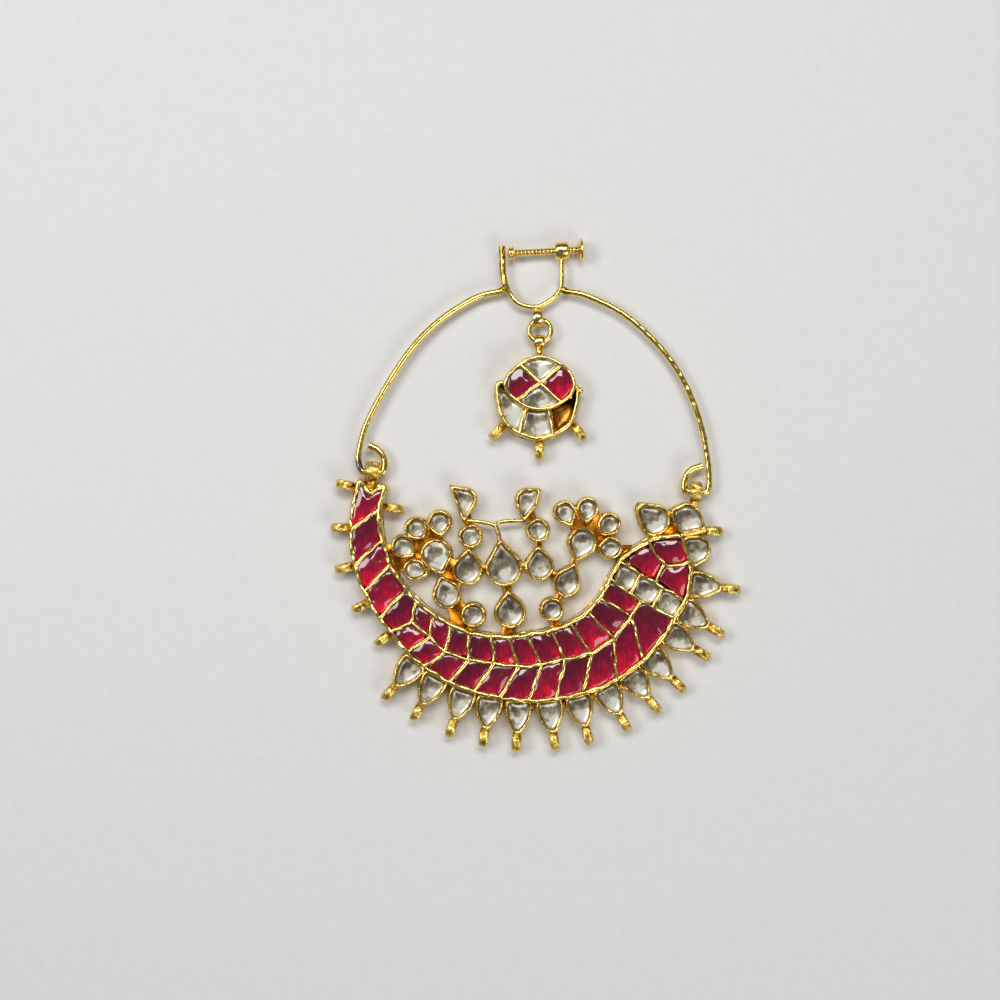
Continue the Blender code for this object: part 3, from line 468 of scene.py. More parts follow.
# Walls between the three rubies of the head, as the same shares
HEAD_WALLS = [
    [(0.735, -0.070), (0.757, -0.127), (0.781, -0.163), (0.818, -0.200)],
    [(0.812, -0.196), (0.845, -0.212), (0.885, -0.219), (0.928, -0.208), (0.966, -0.182)],
    [(0.818, -0.200), (0.797, -0.243), (0.776, -0.284), (0.780, -0.325)],
]
print("Walls in the tables:", len(TAIL_WALLS), len(ROW_WALLS), len(BAND_WALLS), len(HEAD_WALLS))


# %% Points of the plan
STEP = 0.3


def spot(share):
    """Points in millimetres from shares of the radius across and up from the arc's centre."""
    return np.asarray(share, float) * RADIUS + (0.0, ARC_CENTRE)


def polar(angle, share):
    """Points at angles in degrees from straight down and shares of the radius."""
    turn = np.radians(angle)
    return spot(np.stack([share * np.sin(turn), -share * np.cos(turn)], -1))


def arc(rows, steps=4):
    """Points along the arc through rows of angle and share, with steps between each two."""
    rows = np.asarray(rows, float)
    stops = np.linspace(0, len(rows) - 1, (len(rows) - 1) * steps + 1)
    return polar(*(np.interp(stops, np.arange(len(rows)), column) for column in rows.T))


outer_rim = arc(np.vstack([TAIL_WALLS[:, :2], ROW_WALLS[:, 4:]]))
inner_rim = arc(np.vstack([TAIL_WALLS[:, 2:], ROW_WALLS[:, :2]]))[::-1]
rim_line = np.vstack([outer_rim, spot(HEAD_RIM), inner_rim, polar(*TAIL_NOTCH)])
rim_line = along(rim_line, STEP, closed=True)
print("Rim:", len(rim_line), "points")

# %% [markdown]
# ## Walls of the box
# Real walls are strips of fine gold, pressed over the stones' edges with a burnisher until
# their tops roll round. So each wall here is a ridge: a section with a rounded crest carried
# along the wall's path, with its width, height and line all wandering a little.

# %% Ridges
RIDGE_ACROSS = np.array([-1.0, -1.0, -0.92, -0.62, 0.0, 0.62, 0.92, 1.0, 1.0])
RIDGE_BELOW = np.array([9.0, 0.55, 0.22, 0.06, 0.0, 0.06, 0.22, 0.55, 9.0])
# Tone across a wall: dark feet, of patina and painted shade, up to a bright crest
RIDGE_TONE = np.array([0.0, 0.28, 0.62, 0.95, 1.0, 0.95, 0.62, 0.28, 0.0])
SHEET_TONE = 0.65


def ridge(path, half, low, high, seed, closed=False, flare=0.0, uneven=1.25):
    """Wall along p(s): p + side (half w(s) across) at height high + h(s) - below, down to low.
    A closed wall is a rim, whose outer side is a clean sheet that flares at its foot."""
    tone = RIDGE_TONE.copy()
    if closed:
        tone[-2:] = SHEET_TONE
    flat = at_height(path, 0.0)
    side = np.cross(forward_of(flat, closed), UP)
    flat = flat + side * (0.07 * uneven * wobble(flat, 2.6, seed))[:, None]
    swell = 0.16 * wobble(flat, 2.0, seed + 1) + 0.06 * wobble(flat, 0.8, seed + 3)
    width = half * (1 + uneven * swell)
    waves = 0.07 * wobble(flat, 2.2, seed + 2) + 0.02 * wobble(flat, 0.9, seed + 4)
    crest = high + uneven * waves
    across = RIDGE_ACROSS * width[:, None]
    across[:, -1] += flare
    rings = flat[:, None] + side[:, None] * across[..., None]
    rings[..., 2] = np.maximum(crest[:, None] - RIDGE_BELOW, low)
    return skin(rings, loop=closed, tone=tone)


def side_of(path):
    """Unit direction outwards at each point of a closed anticlockwise path."""
    return np.cross(forward_of(at_height(path, 0.0), True), UP)[:, :2]


def grown(path, distance):
    """Closed path, each point moved outwards by a distance."""
    return path + side_of(path) * distance


def box_plate(path, low, high, flare):
    """Plate: the outline moved outwards by a flare, its edges eased at the bottom and the top."""
    rows = ((flare - 0.12, low), (flare, low + 0.12), (flare, high - 0.15), (flare - 0.2, high))
    return skin(np.stack([at_height(grown(path, out), height) for out, height in rows]), tone=0.7)


print("Points across a wall:", len(RIDGE_ACROSS))

# %% Walls of the crescent
RIM_HALF = 0.36
RIM_FOOT = 0.3
walls = [ridge(rim_line, RIM_HALF, RIM_FOOT, CREST, 11, closed=True, flare=0.15, uneven=1.4)]
#       path, how much lower than the rim it ends, and its seed
lines = [(along(polar(row[[0, 2]], row[[1, 3]]), STEP), 0.02, 20 + number)
         for number, row in enumerate(TAIL_WALLS[1:])]
lines += [(along(polar(row[[0, 2, 4]], row[[1, 3, 5]]), STEP, 1), 0.03, 30 + number)
          for number, row in enumerate(ROW_WALLS)]
lines += [(along(arc(ROW_WALLS[:, 2:4], 2), STEP, 1), 0.0, 50),
          (along(polar(BAND_WALLS[:, 2], BAND_WALLS[:, 0]), STEP, 1), 0.0, 51)]
lines += [(along(polar(row[1:], row[0]), STEP, 1), 0.02, 52 + number)
          for number, row in enumerate(BAND_WALLS[1:3])]
lines += [(along(spot(share), STEP), 0.02, 60 + number) for number, share in enumerate(HEAD_WALLS)]
walls += [ridge(path, WALL_HALF, FLOOR, CREST - drop, seed) for path, drop, seed in lines]
piece("crescent_walls", walls, box_gold, "crescent", ["crescent_setting"])
notch = np.vstack([polar(*TAIL_WALLS[0, :2]), polar(*TAIL_NOTCH), polar(*TAIL_WALLS[0, 2:])])
notch = along(notch, 0.25, 1, closed=True)
plates = [box_plate(rim_line, 0.0, FLOOR, 0.55), box_plate(notch, 0.08, 0.72, 0.1)]
piece("crescent_back", plates, box_gold, "crescent")

# %% [markdown]
# ## Stones of the box
# Each stone keeps the outline of its solid in the frame: its widest level gives the girdle.
# Rubies get a cushioned edge and a nearly flat top, which catches a line of light along the
# edge that faces a lamp. White stones are low domes of flat rings over silver foil, and each
# has a painted glint on the side turned to the lower lamp. The tone of both stones is painted
# light, rising towards the lower right. The table of cuts says which is which.

# %% Stone skins
#                   share  height
CUSHION = np.array([(0.90, -1.6), (0.99, -0.5), (1.0, 0.0), (0.98, 0.17), (0.95, 0.31),
                    (0.91, 0.42), (0.86, 0.51), (0.80, 0.59), (0.70, 0.69), (0.60, 0.79),
                    (0.50, 0.88), (0.40, 0.945), (0.28, 0.98), (0.15, 0.995), (0.03, 1.0)])
FLAT_CUT = np.array([(0.90, -1.5), (1.0, -0.2), (1.0, 0.0), (0.90, 0.42), (0.76, 0.74),
                     (0.58, 0.92), (0.38, 1.0), (0.18, 1.03), (0.04, 1.04)])
# Way in the plan towards which the painted light on the stones rises
PAINTED_GLOW_WAY = np.array([0.45, -0.89])
PAINTED_GLINT_SHARE = 0.45
LEAN = 0.06
WHITE_PAINTED_GLINT = 0.55
WHITE_SHARP = 45


def raised(plan, heights):
    """Rings in space, from rings in the jewel's plane and the height of each."""
    height = np.broadcast_to(heights[:, None, None], (*plan.shape[:2], 1))
    return np.concatenate([plan, height], -1)


def stone(outline, centre, level, crown, rows, seed, uneven, lot, glint):
    """Stone: centre + f (outline - centre) at level + crown z, leaning by its lot.
    Its tone is painted light, rising towards the lower right, with a painted glint of exp(-(distance
    / size)^2)."""
    rings = raised(centre + rows[:, :1, None] * (outline - centre),
                   level + crown * (0.8 + 0.4 * lot) * rows[:, 1])
    lean = LEAN * np.array([math.cos(40 * lot), math.sin(40 * lot)])
    rise = (rings[..., :2] - centre) @ lean + uneven * wobble(rings, 2.4, seed)
    rings[..., 2] += rise * (rows[:, :1] < 0.99)
    reach = ((outline - centre) @ PAINTED_GLOW_WAY).max()
    size = PAINTED_GLINT_SHARE * reach
    tone = 0.5 - 0.2 * glint + 0.42 * ((rings[..., :2] - centre) @ PAINTED_GLOW_WAY) / reach
    gap = np.linalg.norm(rings[..., :2] - centre - size * PAINTED_GLOW_WAY, axis=-1) / size
    tone = tone + glint * np.exp(-gap**2)
    return skin(rings, tone=tone, edge=np.broadcast_to(rows[:, :1], rings.shape[:2]), lot=lot)


print("Rings of a ruby:", len(CUSHION), "and of a white stone:", len(FLAT_CUT))

# %% Stones of the crescent
#                                 material      profile  sharp_deg  painted_glint  under_wall
CUTS = {"ruby": (ruby, CUSHION, 80, 0.0, 0.35),
        "white": (white_stone, FLAT_CUT, WHITE_SHARP, WHITE_PAINTED_GLINT, 0.42)}
GIRDLE_DROP = 0.5
lots = np.random.default_rng(5).uniform(size=200)


def girdle_of(name):
    """Outline of a CAD stone at its widest level, in order of angle about its middle, and level."""
    points = node_points(name)
    level = points[:, 2].max() - GIRDLE_DROP
    flat = np.unique(points[np.abs(points[:, 2] - level) < 0.05, :2].round(4), axis=0)
    middle = flat.mean(0)
    order = np.argsort(np.arctan2(flat[:, 1] - middle[1], flat[:, 0] - middle[0]))
    return flat[order], level


def stone_pieces(label, body, starts, crown, seed, uneven, first_lot):
    """Two pieces, of the rubies and of the white stones of one setting, each under its walls."""
    for kind, (material, rows, sharp, glint, under) in CUTS.items():
        names = [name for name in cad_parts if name.startswith(starts[kind])]
        skins = []
        for number, name in enumerate(names):
            outline, level = girdle_of(name)
            if kind == "ruby":
                outline = along(outline, 0.25, 1, closed=True)
            outline = grown(outline, under)
            middle, lot = outline.mean(0), lots[first_lot + number]
            skins.append(stone(outline, middle, level, crown, rows, seed + number,
                               uneven, lot, glint))
        piece(f"{label}_{kind}_stones", skins, material, body, names, sharp)


starts = {"ruby": "ruby_", "white": "white_band"}
stone_pieces("crescent", "crescent", starts, 0.50, 70, 0.05, 0)

# %% [markdown]
# ## Small cells
# The drops of the fringe and the round and pointed cells of the birds and flowers are bezels:
# a strip bent round a stone, soldered to a plate, its top edge rolled over the stone. One
# function makes them all from an outline. Its rows say how far in and how high each ring is.

# %% Bezel cells
CELL_TOP = 3.0
# The tone column darkens the bezel's foot with patina and painted shade
#   inwards  below_top  tone
BEZEL = np.array([
    (-0.26, 2.75, 0.70),
    (-0.36, 2.62, 1.00),
    (-0.34, 2.42, 1.00),
    (-0.12, 2.25, 0.60),
    (-0.13, 0.60, 0.70),
    (-0.13, 0.25, 0.85),
    (-0.05, 0.05, 1.00),
    (0.06, 0.00, 1.00),
    (0.17, 0.05, 1.00),
    (0.25, 0.20, 0.55),
    (0.29, 0.80, 0.05)
])


def inset(outline, centre, distance):
    """Outline drawn in evenly: c + (p - c) (1 - d / h), h being the least of (p - c) . n near p."""
    reach = np.abs(((outline - centre) * side_of(outline)).sum(1))
    reach = np.maximum(0.8, np.min([np.roll(reach, shift) for shift in range(-2, 3)], 0))
    reach = np.mean([np.roll(reach, shift) for shift in (-1, 0, 1)], 0)
    return centre + (1 - np.asarray(distance) / reach)[..., None] * (outline - centre)


def bezel(outline, centre, seed, bottom=0.3):
    """Bezel: ring k is the outline drawn in by inwards_k, at top - below_k, with a wobbly lip."""
    rings = raised(inset(outline, centre, BEZEL[:, :1]), np.maximum(CELL_TOP - BEZEL[:, 1], bottom))
    lively = (BEZEL[:, 1] < 0.7)[:, None]
    rings[..., 2] += 0.07 * wobble(rings, 1.5, seed) * lively
    away = rings[..., :2] - centre
    away /= np.linalg.norm(away, axis=-1, keepdims=True)
    rings[..., :2] += 0.06 * away * (wobble(rings, 1.2, seed + 7) * lively)[..., None]
    return skin(rings, tone=BEZEL[:, 2:])


def cell_stone(outline, centre, seed):
    """White stone inside a bezel, flat cut, with its girdle just under the lip."""
    inner = along(inset(outline, centre, 0.25), 0.75, 0, closed=True)
    lot = lots[seed % len(lots)]
    return stone(inner, centre, CELL_TOP - 0.40, 0.34, FLAT_CUT, seed, 0.0, lot, WHITE_PAINTED_GLINT)


print("Rings of a bezel:", len(BEZEL))

# %% [markdown]
# ## Fringe
# Thirteen pointed cells stand on the outer rim, like sun rays, and each tip carries an eye.
# They aren't evenly spaced, so a table gives the angles of each root and of each eye.

# %% Fringe cells
FRINGE_LENGTH = 5.2
FRINGE_WIDTH = 4.17
EYE_SHARE = 1.268
#   side_share  length_share
FRINGE_SIDE = np.array([
    (0.47, 0.0), (0.50, 0.14), (0.49, 0.34),
    (0.41, 0.58), (0.26, 0.81), (0.09, 0.99)
])
#   root_deg  eye_deg
FRINGE_CELLS = np.array([
    (-39.0, -39.2), (-30.2, -29.9), (-20.0, -19.7), (-10.9, -10.6),
    (-1.3, -1.8), (8.5, 8.4), (18.0, 17.4), (27.3, 27.6), (36.3, 36.6),
    (44.9, 44.9), (54.5, 55.1), (63.2, 62.2), (71.9, 73.9)
])
RIM_STEP = 0.29
rim_shares = np.vstack([TAIL_WALLS[:, :2], ROW_WALLS[:, 4:], [(66.1, 1.034), (76.5, 1.004)]])


def away_from(angle):
    """Unit direction from the arc's centre at an angle in degrees from straight down."""
    return np.array([math.sin(math.radians(angle)), -math.cos(math.radians(angle))])


bezels, stones, eye_feet = [], [], []
for number, (angle, eye_angle) in enumerate(FRINGE_CELLS):
    root = polar(angle, np.interp(angle, *rim_shares.T)) + away_from(angle) * RIM_STEP
    out = polar(eye_angle, EYE_SHARE) - root
    out /= np.linalg.norm(out)
    side = np.array([-out[1], out[0]])
    half = FRINGE_SIDE * (FRINGE_WIDTH, FRINGE_LENGTH)
    loop = np.vstack([half * (-1, 1), half[::-1]])
    outline = along(root + loop[:, :1] * side + loop[:, 1:] * out, STEP, 1, closed=True)
    centre = root + out * 0.40 * FRINGE_LENGTH
    bezels.append(bezel(outline, centre, 100 + number))
    stones.append(cell_stone(outline, centre, 120 + number))
    eye_feet.append((root + out * FRINGE_LENGTH, out))
piece("fringe_cells", bezels, box_gold, "crescent")
piece("fringe_stones", stones, white_stone, "crescent", sharp=WHITE_SHARP)

# %% [markdown]
# ## Birds, flowers and head leaves
# Inside the crescent two birds face each other between flower sprays. Each part of them is
# one bezel, drawn as a thread pulled tight round a disc and its tips, and thin plates behind
# the cells tie them to each other and to the rim.

# %% Ornament plan
# Middle, radius and tips of each cell, as shares of the crescent's radius
ORNAMENT = {
    "head_leaf_inner": ((0.770, 0.051), 0.086,
                        [(0.684, 0.146), (0.665, 0.118), (0.849, 0.041), (0.740, -0.040)]),
    "head_leaf_outer": ((0.957, 0.062), 0.083, [(0.866, 0.108), (1.066, 0.004), (0.925, -0.025)]),
    "head_drop": ((1.015, -0.120), 0.077, [(0.935, -0.055), (0.998, -0.220)]),
    "left_petal_1": ((-0.700, -0.103), 0.064, [(-0.640, -0.157)]),
    "left_petal_2": ((-0.623, 0.003), 0.061, [(-0.576, -0.052)]),
    "left_petal_3": ((-0.487, 0.040), 0.064, [(-0.480, -0.041)]),
    "left_petal_4": ((-0.634, -0.237), 0.060, [(-0.552, -0.262)]),
    "left_centre": ((-0.506, -0.150), 0.087, [(-0.470, -0.262)]),
    "left_leaf": ((-0.443, -0.384), 0.078, [(-0.477, -0.277)]),
    "left_round": ((-0.290, -0.503), 0.067, []),
    "left_crest": ((-0.333, 0.174), 0.058, [(-0.418, 0.246), (-0.345, 0.046)]),
    "left_head": ((-0.306, -0.043), 0.064, []),
    "left_body": ((-0.323, -0.241), 0.084, [(-0.319, -0.118)]),
    "middle_drop": ((-0.110, -0.230), 0.101, [(-0.133, -0.070)]),
    "lower_drop": ((-0.074, -0.489), 0.086, [(-0.090, -0.366)]),
    "right_crest": ((0.023, 0.169), 0.062, [(0.097, 0.225), (0.003, 0.048)]),
    "right_head": ((0.087, -0.009), 0.064, []),
    "right_body": ((0.096, -0.218), 0.079, [(0.087, -0.102)]),
    "right_leaf": ((0.256, -0.314), 0.076, [(0.304, -0.202), (0.244, -0.401)]),
    "right_round": ((0.169, -0.471), 0.065, []),
    "right_centre": ((0.347, -0.076), 0.081, [(0.310, -0.186)]),
    "right_petal_1": ((0.244, 0.098), 0.060, [(0.284, 0.020)]),
    "right_petal_2": ((0.377, 0.118), 0.060, [(0.371, 0.035)]),
    "right_petal_3": ((0.504, 0.028), 0.062, [(0.453, -0.035)]),
    "right_petal_4": ((0.511, -0.112), 0.062, [(0.436, -0.110)]),
}
print(len(ORNAMENT), "cells in the ornament")

# %% Bezels and stones of the ornament
def thread_round(points):
    """Outline of a thread drawn tight round points."""
    points = np.asarray(points, float)
    return points[convex_hull_2d(points.tolist())]


def disc(centre, radius, sides=16):
    """Points of a circle."""
    turn = 2 * np.pi * np.arange(sides) / sides
    return centre + radius * np.stack([np.cos(turn), np.sin(turn)], -1)


bezels, stones = [], []
for number, (middle, share, tips) in enumerate(ORNAMENT.values()):
    centre, radius = spot(middle), share * RADIUS
    corners = np.vstack([disc(centre, radius)] + [spot(tip) for tip in tips])
    outline = along(thread_round(corners), STEP, 1, closed=True)
    bezels.append(bezel(outline, centre, 140 + number, bottom=0.45))
    stones.append(cell_stone(outline, centre, 170 + number))
piece("ornament_cells", bezels, box_gold, "crescent")
piece("ornament_stones", stones, white_stone, "crescent", sharp=WHITE_SHARP)

# %% Tie plates and beak wires
TIE_SHARE = 0.28
BEAK_DROP = 0.66
# Cells that a plate joins, and where it meets the inner rim, in degrees and shares
TIES = [
    (["left_petal_1", "left_petal_2", "left_petal_3", "left_centre", "left_petal_4"], []),
    (["left_petal_1", "left_petal_4"], [(-84.0, 0.86), (-73.0, 0.84)]),
    (["left_centre", "left_leaf", "left_body"], []),
    (["left_leaf", "left_round"], [(-33.0, 0.74)]),
    (["left_round"], [(-28.0, 0.72)]),
    (["left_crest", "left_head"], []),
    (["left_head", "left_body"], []),
    (["left_body", "middle_drop", "right_body"], []),
    (["middle_drop", "lower_drop"], []),
    (["lower_drop"], [(-12.0, 0.67), (-4.0, 0.66)]),
    (["right_crest", "right_head"], []),
    (["right_head", "right_body"], []),
    (["right_body", "right_leaf"], []),
    (["right_leaf", "right_round"], []),
    (["right_round"], [(14.0, 0.65), (21.0, 0.65)]),
    (["right_leaf", "right_centre"], []),
    (["right_petal_1", "right_petal_2", "right_petal_3", "right_petal_4", "right_centre"], []),
    (["right_petal_4"], [(77.0, 0.64), (82.0, 0.70)]),
    (["head_leaf_inner", "head_leaf_outer"], [(86.0, 0.76), (86.0, 0.90)]),
    (["head_leaf_outer", "head_drop"], [(84.0, 0.92), (80.0, 0.96)]),
]
BEAKS = [
    [(-0.325, 0.047), (-0.250, 0.041), (-0.169, 0.020), (-0.145, -0.020), (-0.131, -0.085)],
    [(0.003, 0.047), (-0.105, 0.044), (-0.155, 0.028), (-0.150, -0.010), (-0.133, -0.085)],
]
plates = []
for number, (names, anchors) in enumerate(TIES):
    cells = [ORNAMENT[name] for name in names]
    corners = [disc(spot(middle), TIE_SHARE * share * RADIUS) for middle, share, tips in cells]
    corners += [polar(*anchor)[None] for anchor in anchors]
    outline = along(thread_round(np.vstack(corners)), 0.4, 1, closed=True)
    bottom = 0.25 + 0.02 * (1 + number % 3)
    plates.append(box_plate(outline, bottom, bottom + 0.4, 0.0))
piece("tie_plates", plates, plate_gold, "crescent")
beaks = []
for number, points in enumerate(BEAKS):
    path = at_height(curve(spot(points)), CELL_TOP - BEAK_DROP)
    radius = (0.36 + 0.03 * wobble(path, 1.5, 200 + number))[:, None]
    beaks.append(skin(wire(path, radius, sides=8), tone=0.75))
piece("beak_wires", beaks, box_gold, "crescent")

# %% [markdown]
# ## Eyes
# Pearls once hung from the eyes on the fringe, the tail and the inner rim. Each eye is a
# strip bent into a loop and stood on edge, with a groove between its two rolled edges, so
# from above it reads as a short double bar. A few file marks make it lumpy.

# %% Strip eyes
EYE_OUTER = 1.56
EYE_HOLE = 0.6
EYE_WIDTH = 1.6
EYE_STRETCH = 1.12
EYE_LOW = 0.25
EYE_GROOVE = 0.32


def strip_eye(foot, out, seed):
    """Band on edge, stretched outwards, with lumps, less a groove of exp(-(across / width)^2)."""
    spoke, axis = np.array([*out, 0.0]), np.array([-out[1], out[0], 0.0])
    centre = np.array([*(foot + out * (EYE_OUTER * EYE_STRETCH - 0.2)), EYE_LOW + EYE_OUTER])
    offset = band(np.zeros(3), axis, EYE_HOLE, EYE_OUTER, EYE_WIDTH, 30, squareness=2.0)
    across = offset @ axis
    away = offset - across[..., None] * axis
    reach = np.linalg.norm(away, axis=-1)
    groove = np.exp(-((across + 0.1 * math.sin(seed)) / EYE_GROOVE) ** 2)
    groove *= reach > (EYE_OUTER + EYE_HOLE) / 2
    lumps = 0.08 * wobble(offset, 0.9, 400 + seed) + 0.05 * wobble(offset, 0.45, 430 + seed)
    offset = offset + away * ((lumps - 0.12 * groove) / reach)[..., None]
    offset = offset + (EYE_STRETCH - 1) * (offset @ spoke)[..., None] * spoke
    # Painted shade darkens the groove, and painted light and shade follow the lumps, lighter where
    # they stand out
    return skin(centre + offset, loop=True, tone=0.85 - 0.5 * groove + 4.5 * lumps)


# Eyes that stand on the rim alone: angle, share, and 1 outwards or -1 inwards
BARE_EYES = [(-103.8, 1.000, 1), (-90.3, 1.000, 1), (-77.6, 1.000, 1), (-64.4, 0.985, 1),
             (-51.7, 0.973, 1), (-99.0, 0.828, -1), (89.3, 1.046, 1)]
EYE_STEM = [(26.2, 21.95), (27.6, 21.95), (29.0, 22.35), (30.6, 22.72)]
STEM_HEIGHT = 2.3
for angle, share, way in BARE_EYES:
    out = way * away_from(angle)
    eye_feet.append((polar(angle, share) + out * RIM_STEP, out))
eyes = [strip_eye(foot, out, number) for number, (foot, out) in enumerate(eye_feet)]
stem = at_height(curve(EYE_STEM), STEM_HEIGHT)
eyes.append(skin(wire(stem, (0.36 + 0.03 * wobble(stem, 0.9, 205))[:, None]), tone=0.85))
piece("crescent_eyes", eyes, lug_gold, "crescent")

# %% [markdown]
# ## Hinge lugs
# Two thick rings at the crescent's ends turn on the hoop's hooked wire. They are cast rough,
# with a grainy skin, so their radius is pushed in and out by a fine wobble.

# %% Lugs
HINGE = np.array([0.99812, -0.06129, 0.0])
LUG_HOLE = 0.84
LUG_OUTER = 1.76
#                lug                       root                     width  neck_radius
LUGS = {"left": ((-24.992, 32.348, 1.9), (-25.248, 28.741, 1.9), 2.35, 1.0),
        "right": ((28.656, 29.053, 1.9), (28.4, 25.361, 1.9), 2.05, 0.80)}
lugs = []
for number, (lug, root, width, neck_radius) in enumerate(LUGS.values()):
    lug, root = np.array(lug), np.array(root)
    rings = band(lug, HINGE, LUG_HOLE, LUG_OUTER, width, 48)
    grain = wobble(rings, 0.40, 210 + number) + 0.7 * wobble(rings, 0.8, 220)
    rings = rings + 0.05 * (rings - lug) * grain[..., None]
    lugs.append(skin(rings, loop=True, tone=0.62 + 0.35 * grain))
    neck = np.linspace(lug + (root - lug) * 0.42, lug + (root - lug) * 0.92, 14)
    thick = np.linspace(neck_radius, 0.45, 14)[:, None]
    rings = wire(neck, thick, sides=16)
    rings = wire(neck, thick * (1 + 0.06 * wobble(rings, 0.6, 230 + number)), sides=16)
    lugs.append(skin(rings, tone=0.7 + 0.25 * wobble(rings, 0.5, 232)))
piece("hinge_lugs", lugs, lug_gold, "crescent")

# %% [markdown]
# ## Hoop
# The hoop is two arms of drawn round wire, each bent into a hook through its lug. The right
# arm was hammered and is pitted, the left one is smoother, so the wobble differs by arm. A
# grey stain of solder sits low on the left arm, and dull solder where both meet the clip.

# %% Hoop arms
WIRE_RADIUS = 0.56
HOOP_LEVEL = 1.9
STAIN = np.array([-27.0, 33.6, HOOP_LEVEL])
STAIN_SIZE = 1.2
# Run from the clip, hook through the lug, and depth of the pits
ARMS = {
    "left": ([(-3.44, 62.39), (-7.87, 61.27), (-13.78, 57.54), (-18.38, 52.95), (-22.38, 47.04),
              (-25.98, 40.27), (-27.26, 35.35)],
             [(-27.13, 33.36), (-26.87, 32.69), (-26.43, 32.44), (-23.56, 32.26), (-23.12, 32.5),
              (-22.9, 33.8), (-23.3, 35.23), (-24.23, 36.2), (-25.53, 36.81)], 0.018),
    "right": ([(6.73, 62.39), (10.66, 61.57), (16.99, 58.38), (22.88, 52.93), (26.89, 47.04),
               (29.61, 39.89), (30.8, 33.13)],
              [(30.9, 29.79), (30.56, 29.16), (30.09, 28.96), (27.22, 29.14), (26.81, 29.43),
               (26.76, 30.75), (27.33, 32.12), (28.37, 32.97), (29.73, 33.42)], 0.042),
}
arms = []
for number, (run, hook, rough) in enumerate(ARMS.values()):
    path = along(np.vstack([curve(run + hook[:1], 8), curve(hook, 8)[1:]]), 0.2, 2)
    path = at_height(path, HOOP_LEVEL)
    rings = wire(path, WIRE_RADIUS, sides=12)
    thicker = eased(path, [0, 0.82, 0.9, 1], [0.97, 0.97, 1.1, 1.1])
    pits = wobble(rings, 1.5, 240 + number) + 0.5 * wobble(rings, 0.6, 243)
    radius = WIRE_RADIUS * (thicker + rough * pits + 0.01 * wobble(rings, 5.0, 3))
    rings = wire(path, radius, sides=12)
    grey = np.exp(-(np.linalg.norm(rings - STAIN, axis=-1) / STAIN_SIZE) ** 4)
    solder = eased(path, [0, 0.016, 0.026, 1], [0.20, 0.35, 0.9, 0.9])
    arms.append(skin(rings, tone=solder, edge=grey))
piece("hoop_arms", arms, wire_gold, "hoop", ["hoop_clip"])

# %% [markdown]
# ## Clip
# The clip is a U of wire. Its left leg is thicker and takes the pad, its right leg carries
# the threaded nut, and solder joins both legs to the ends of the hoop.

# %% Clip wire, solder, nut and bail
CLIP_PATH = [(-3.46, 69.80), (-3.40, 68.00), (-3.33, 66.40), (-3.16, 64.40), (-2.72, 62.90),
             (-1.62, 61.20), (-0.52, 60.24), (1.48, 59.72), (3.06, 59.98), (4.98, 61.16),
             (6.09, 62.46), (6.43, 63.60), (6.45, 66.00), (6.47, 68.10)]
# Feet of the two lumps of solder, and the way each faces
SOLDER = [((-3.55, 62.50, 1.8), (0.90, 0.43, 0)), ((6.75, 62.55, 1.8), (-0.90, 0.43, 0))]
LUMP = [(-0.9, 0.30), (-0.75, 0.50), (-0.4, 0.60), (0.0, 0.62), (0.3, 0.52), (0.5, 0.32),
        (0.58, 0.1)]
NUT = np.array([6.474, 69.085, HOOP_LEVEL])
SCREW_AXIS = np.array([0.99872, 0.05059, 0.0])
BAIL = np.array([2.42, 57.875, HOOP_LEVEL])
ACROSS = (1.0, 0, 0)
u_path = at_height(along(curve(CLIP_PATH), STEP, 1), HOOP_LEVEL)
lumpy = 1 + 0.05 * wobble(u_path, 1.4, 250) + 0.03 * wobble(u_path, 0.6, 251)
u_radius = eased(u_path, [0, 0.26, 0.38, 0.72, 1], [0.58, 0.56, 0.46, 0.42, 0.38]) * lumpy[:, None]
# Darker along the left leg, the first third of the wire, and bright beyond it
clip_tone = eased(u_path, [0, 0.30, 0.40, 1], [0.22, 0.26, 0.9, 0.9])
clip = [skin(wire(u_path, u_radius, sides=12), tone=clip_tone)]
for number, (foot, way) in enumerate(SOLDER):
    rings = turned(np.array(foot), way, LUMP, 20)
    rings = rings + 0.07 * (rings - foot) * wobble(rings, 0.9, 260 + number)[..., None]
    clip.append(skin(rings, tone=0.35))
nut = band(NUT, SCREW_AXIS, 0.67, 1.50, 2.28, 28, squareness=3.6)
bail = band(BAIL, ACROSS, 1.10, 1.52, 1.50, 36, squareness=2.2)
clip.append(skin(nut, loop=True, tone=0.9))
clip.append(skin(bail, loop=True, tone=0.85 + 0.2 * wobble(bail, 1.0, 270)))
piece("clip_and_bail", clip, wire_gold, "hoop")

# %% [markdown]
# ## Screw, pad and thumb disc
# The screw's thread is a ridge that climbs as it turns. On a grid of length and angle, the
# radius is a wave of (length / pitch - angle / full turn), which is exactly a helix.

# %% Threaded screw
PITCH = 0.62
#        along  radius
THUMB = [(2.62, 0.45), (2.66, 0.80), (2.80, 1.30), (3.00, 1.70), (3.24, 1.92), (3.42, 1.93),
         (3.50, 1.80), (3.34, 1.45), (3.14, 1.00), (3.04, 0.50), (3.02, 0.05)]
PAD = [(-8.90, 0.05), (-8.90, 0.80), (-8.84, 1.02), (-8.68, 1.12), (-8.48, 1.08), (-8.34, 0.92),
       (-8.28, 0.98), (-8.20, 1.22), (-8.08, 1.26), (-7.96, 1.18), (-7.88, 0.90), (-7.85, 0.40)]
length = np.arange(-7.80, 2.65, PITCH / 10)
turn = np.arange(20) / 20
wave = np.abs(((length[:, None] / PITCH - turn[None]) % 1.0) - 0.5) * 2
rings = turned(NUT, SCREW_AXIS, np.stack([length, np.ones(len(length))], -1), 20)
centre_line = NUT + length[:, None, None] * SCREW_AXIS
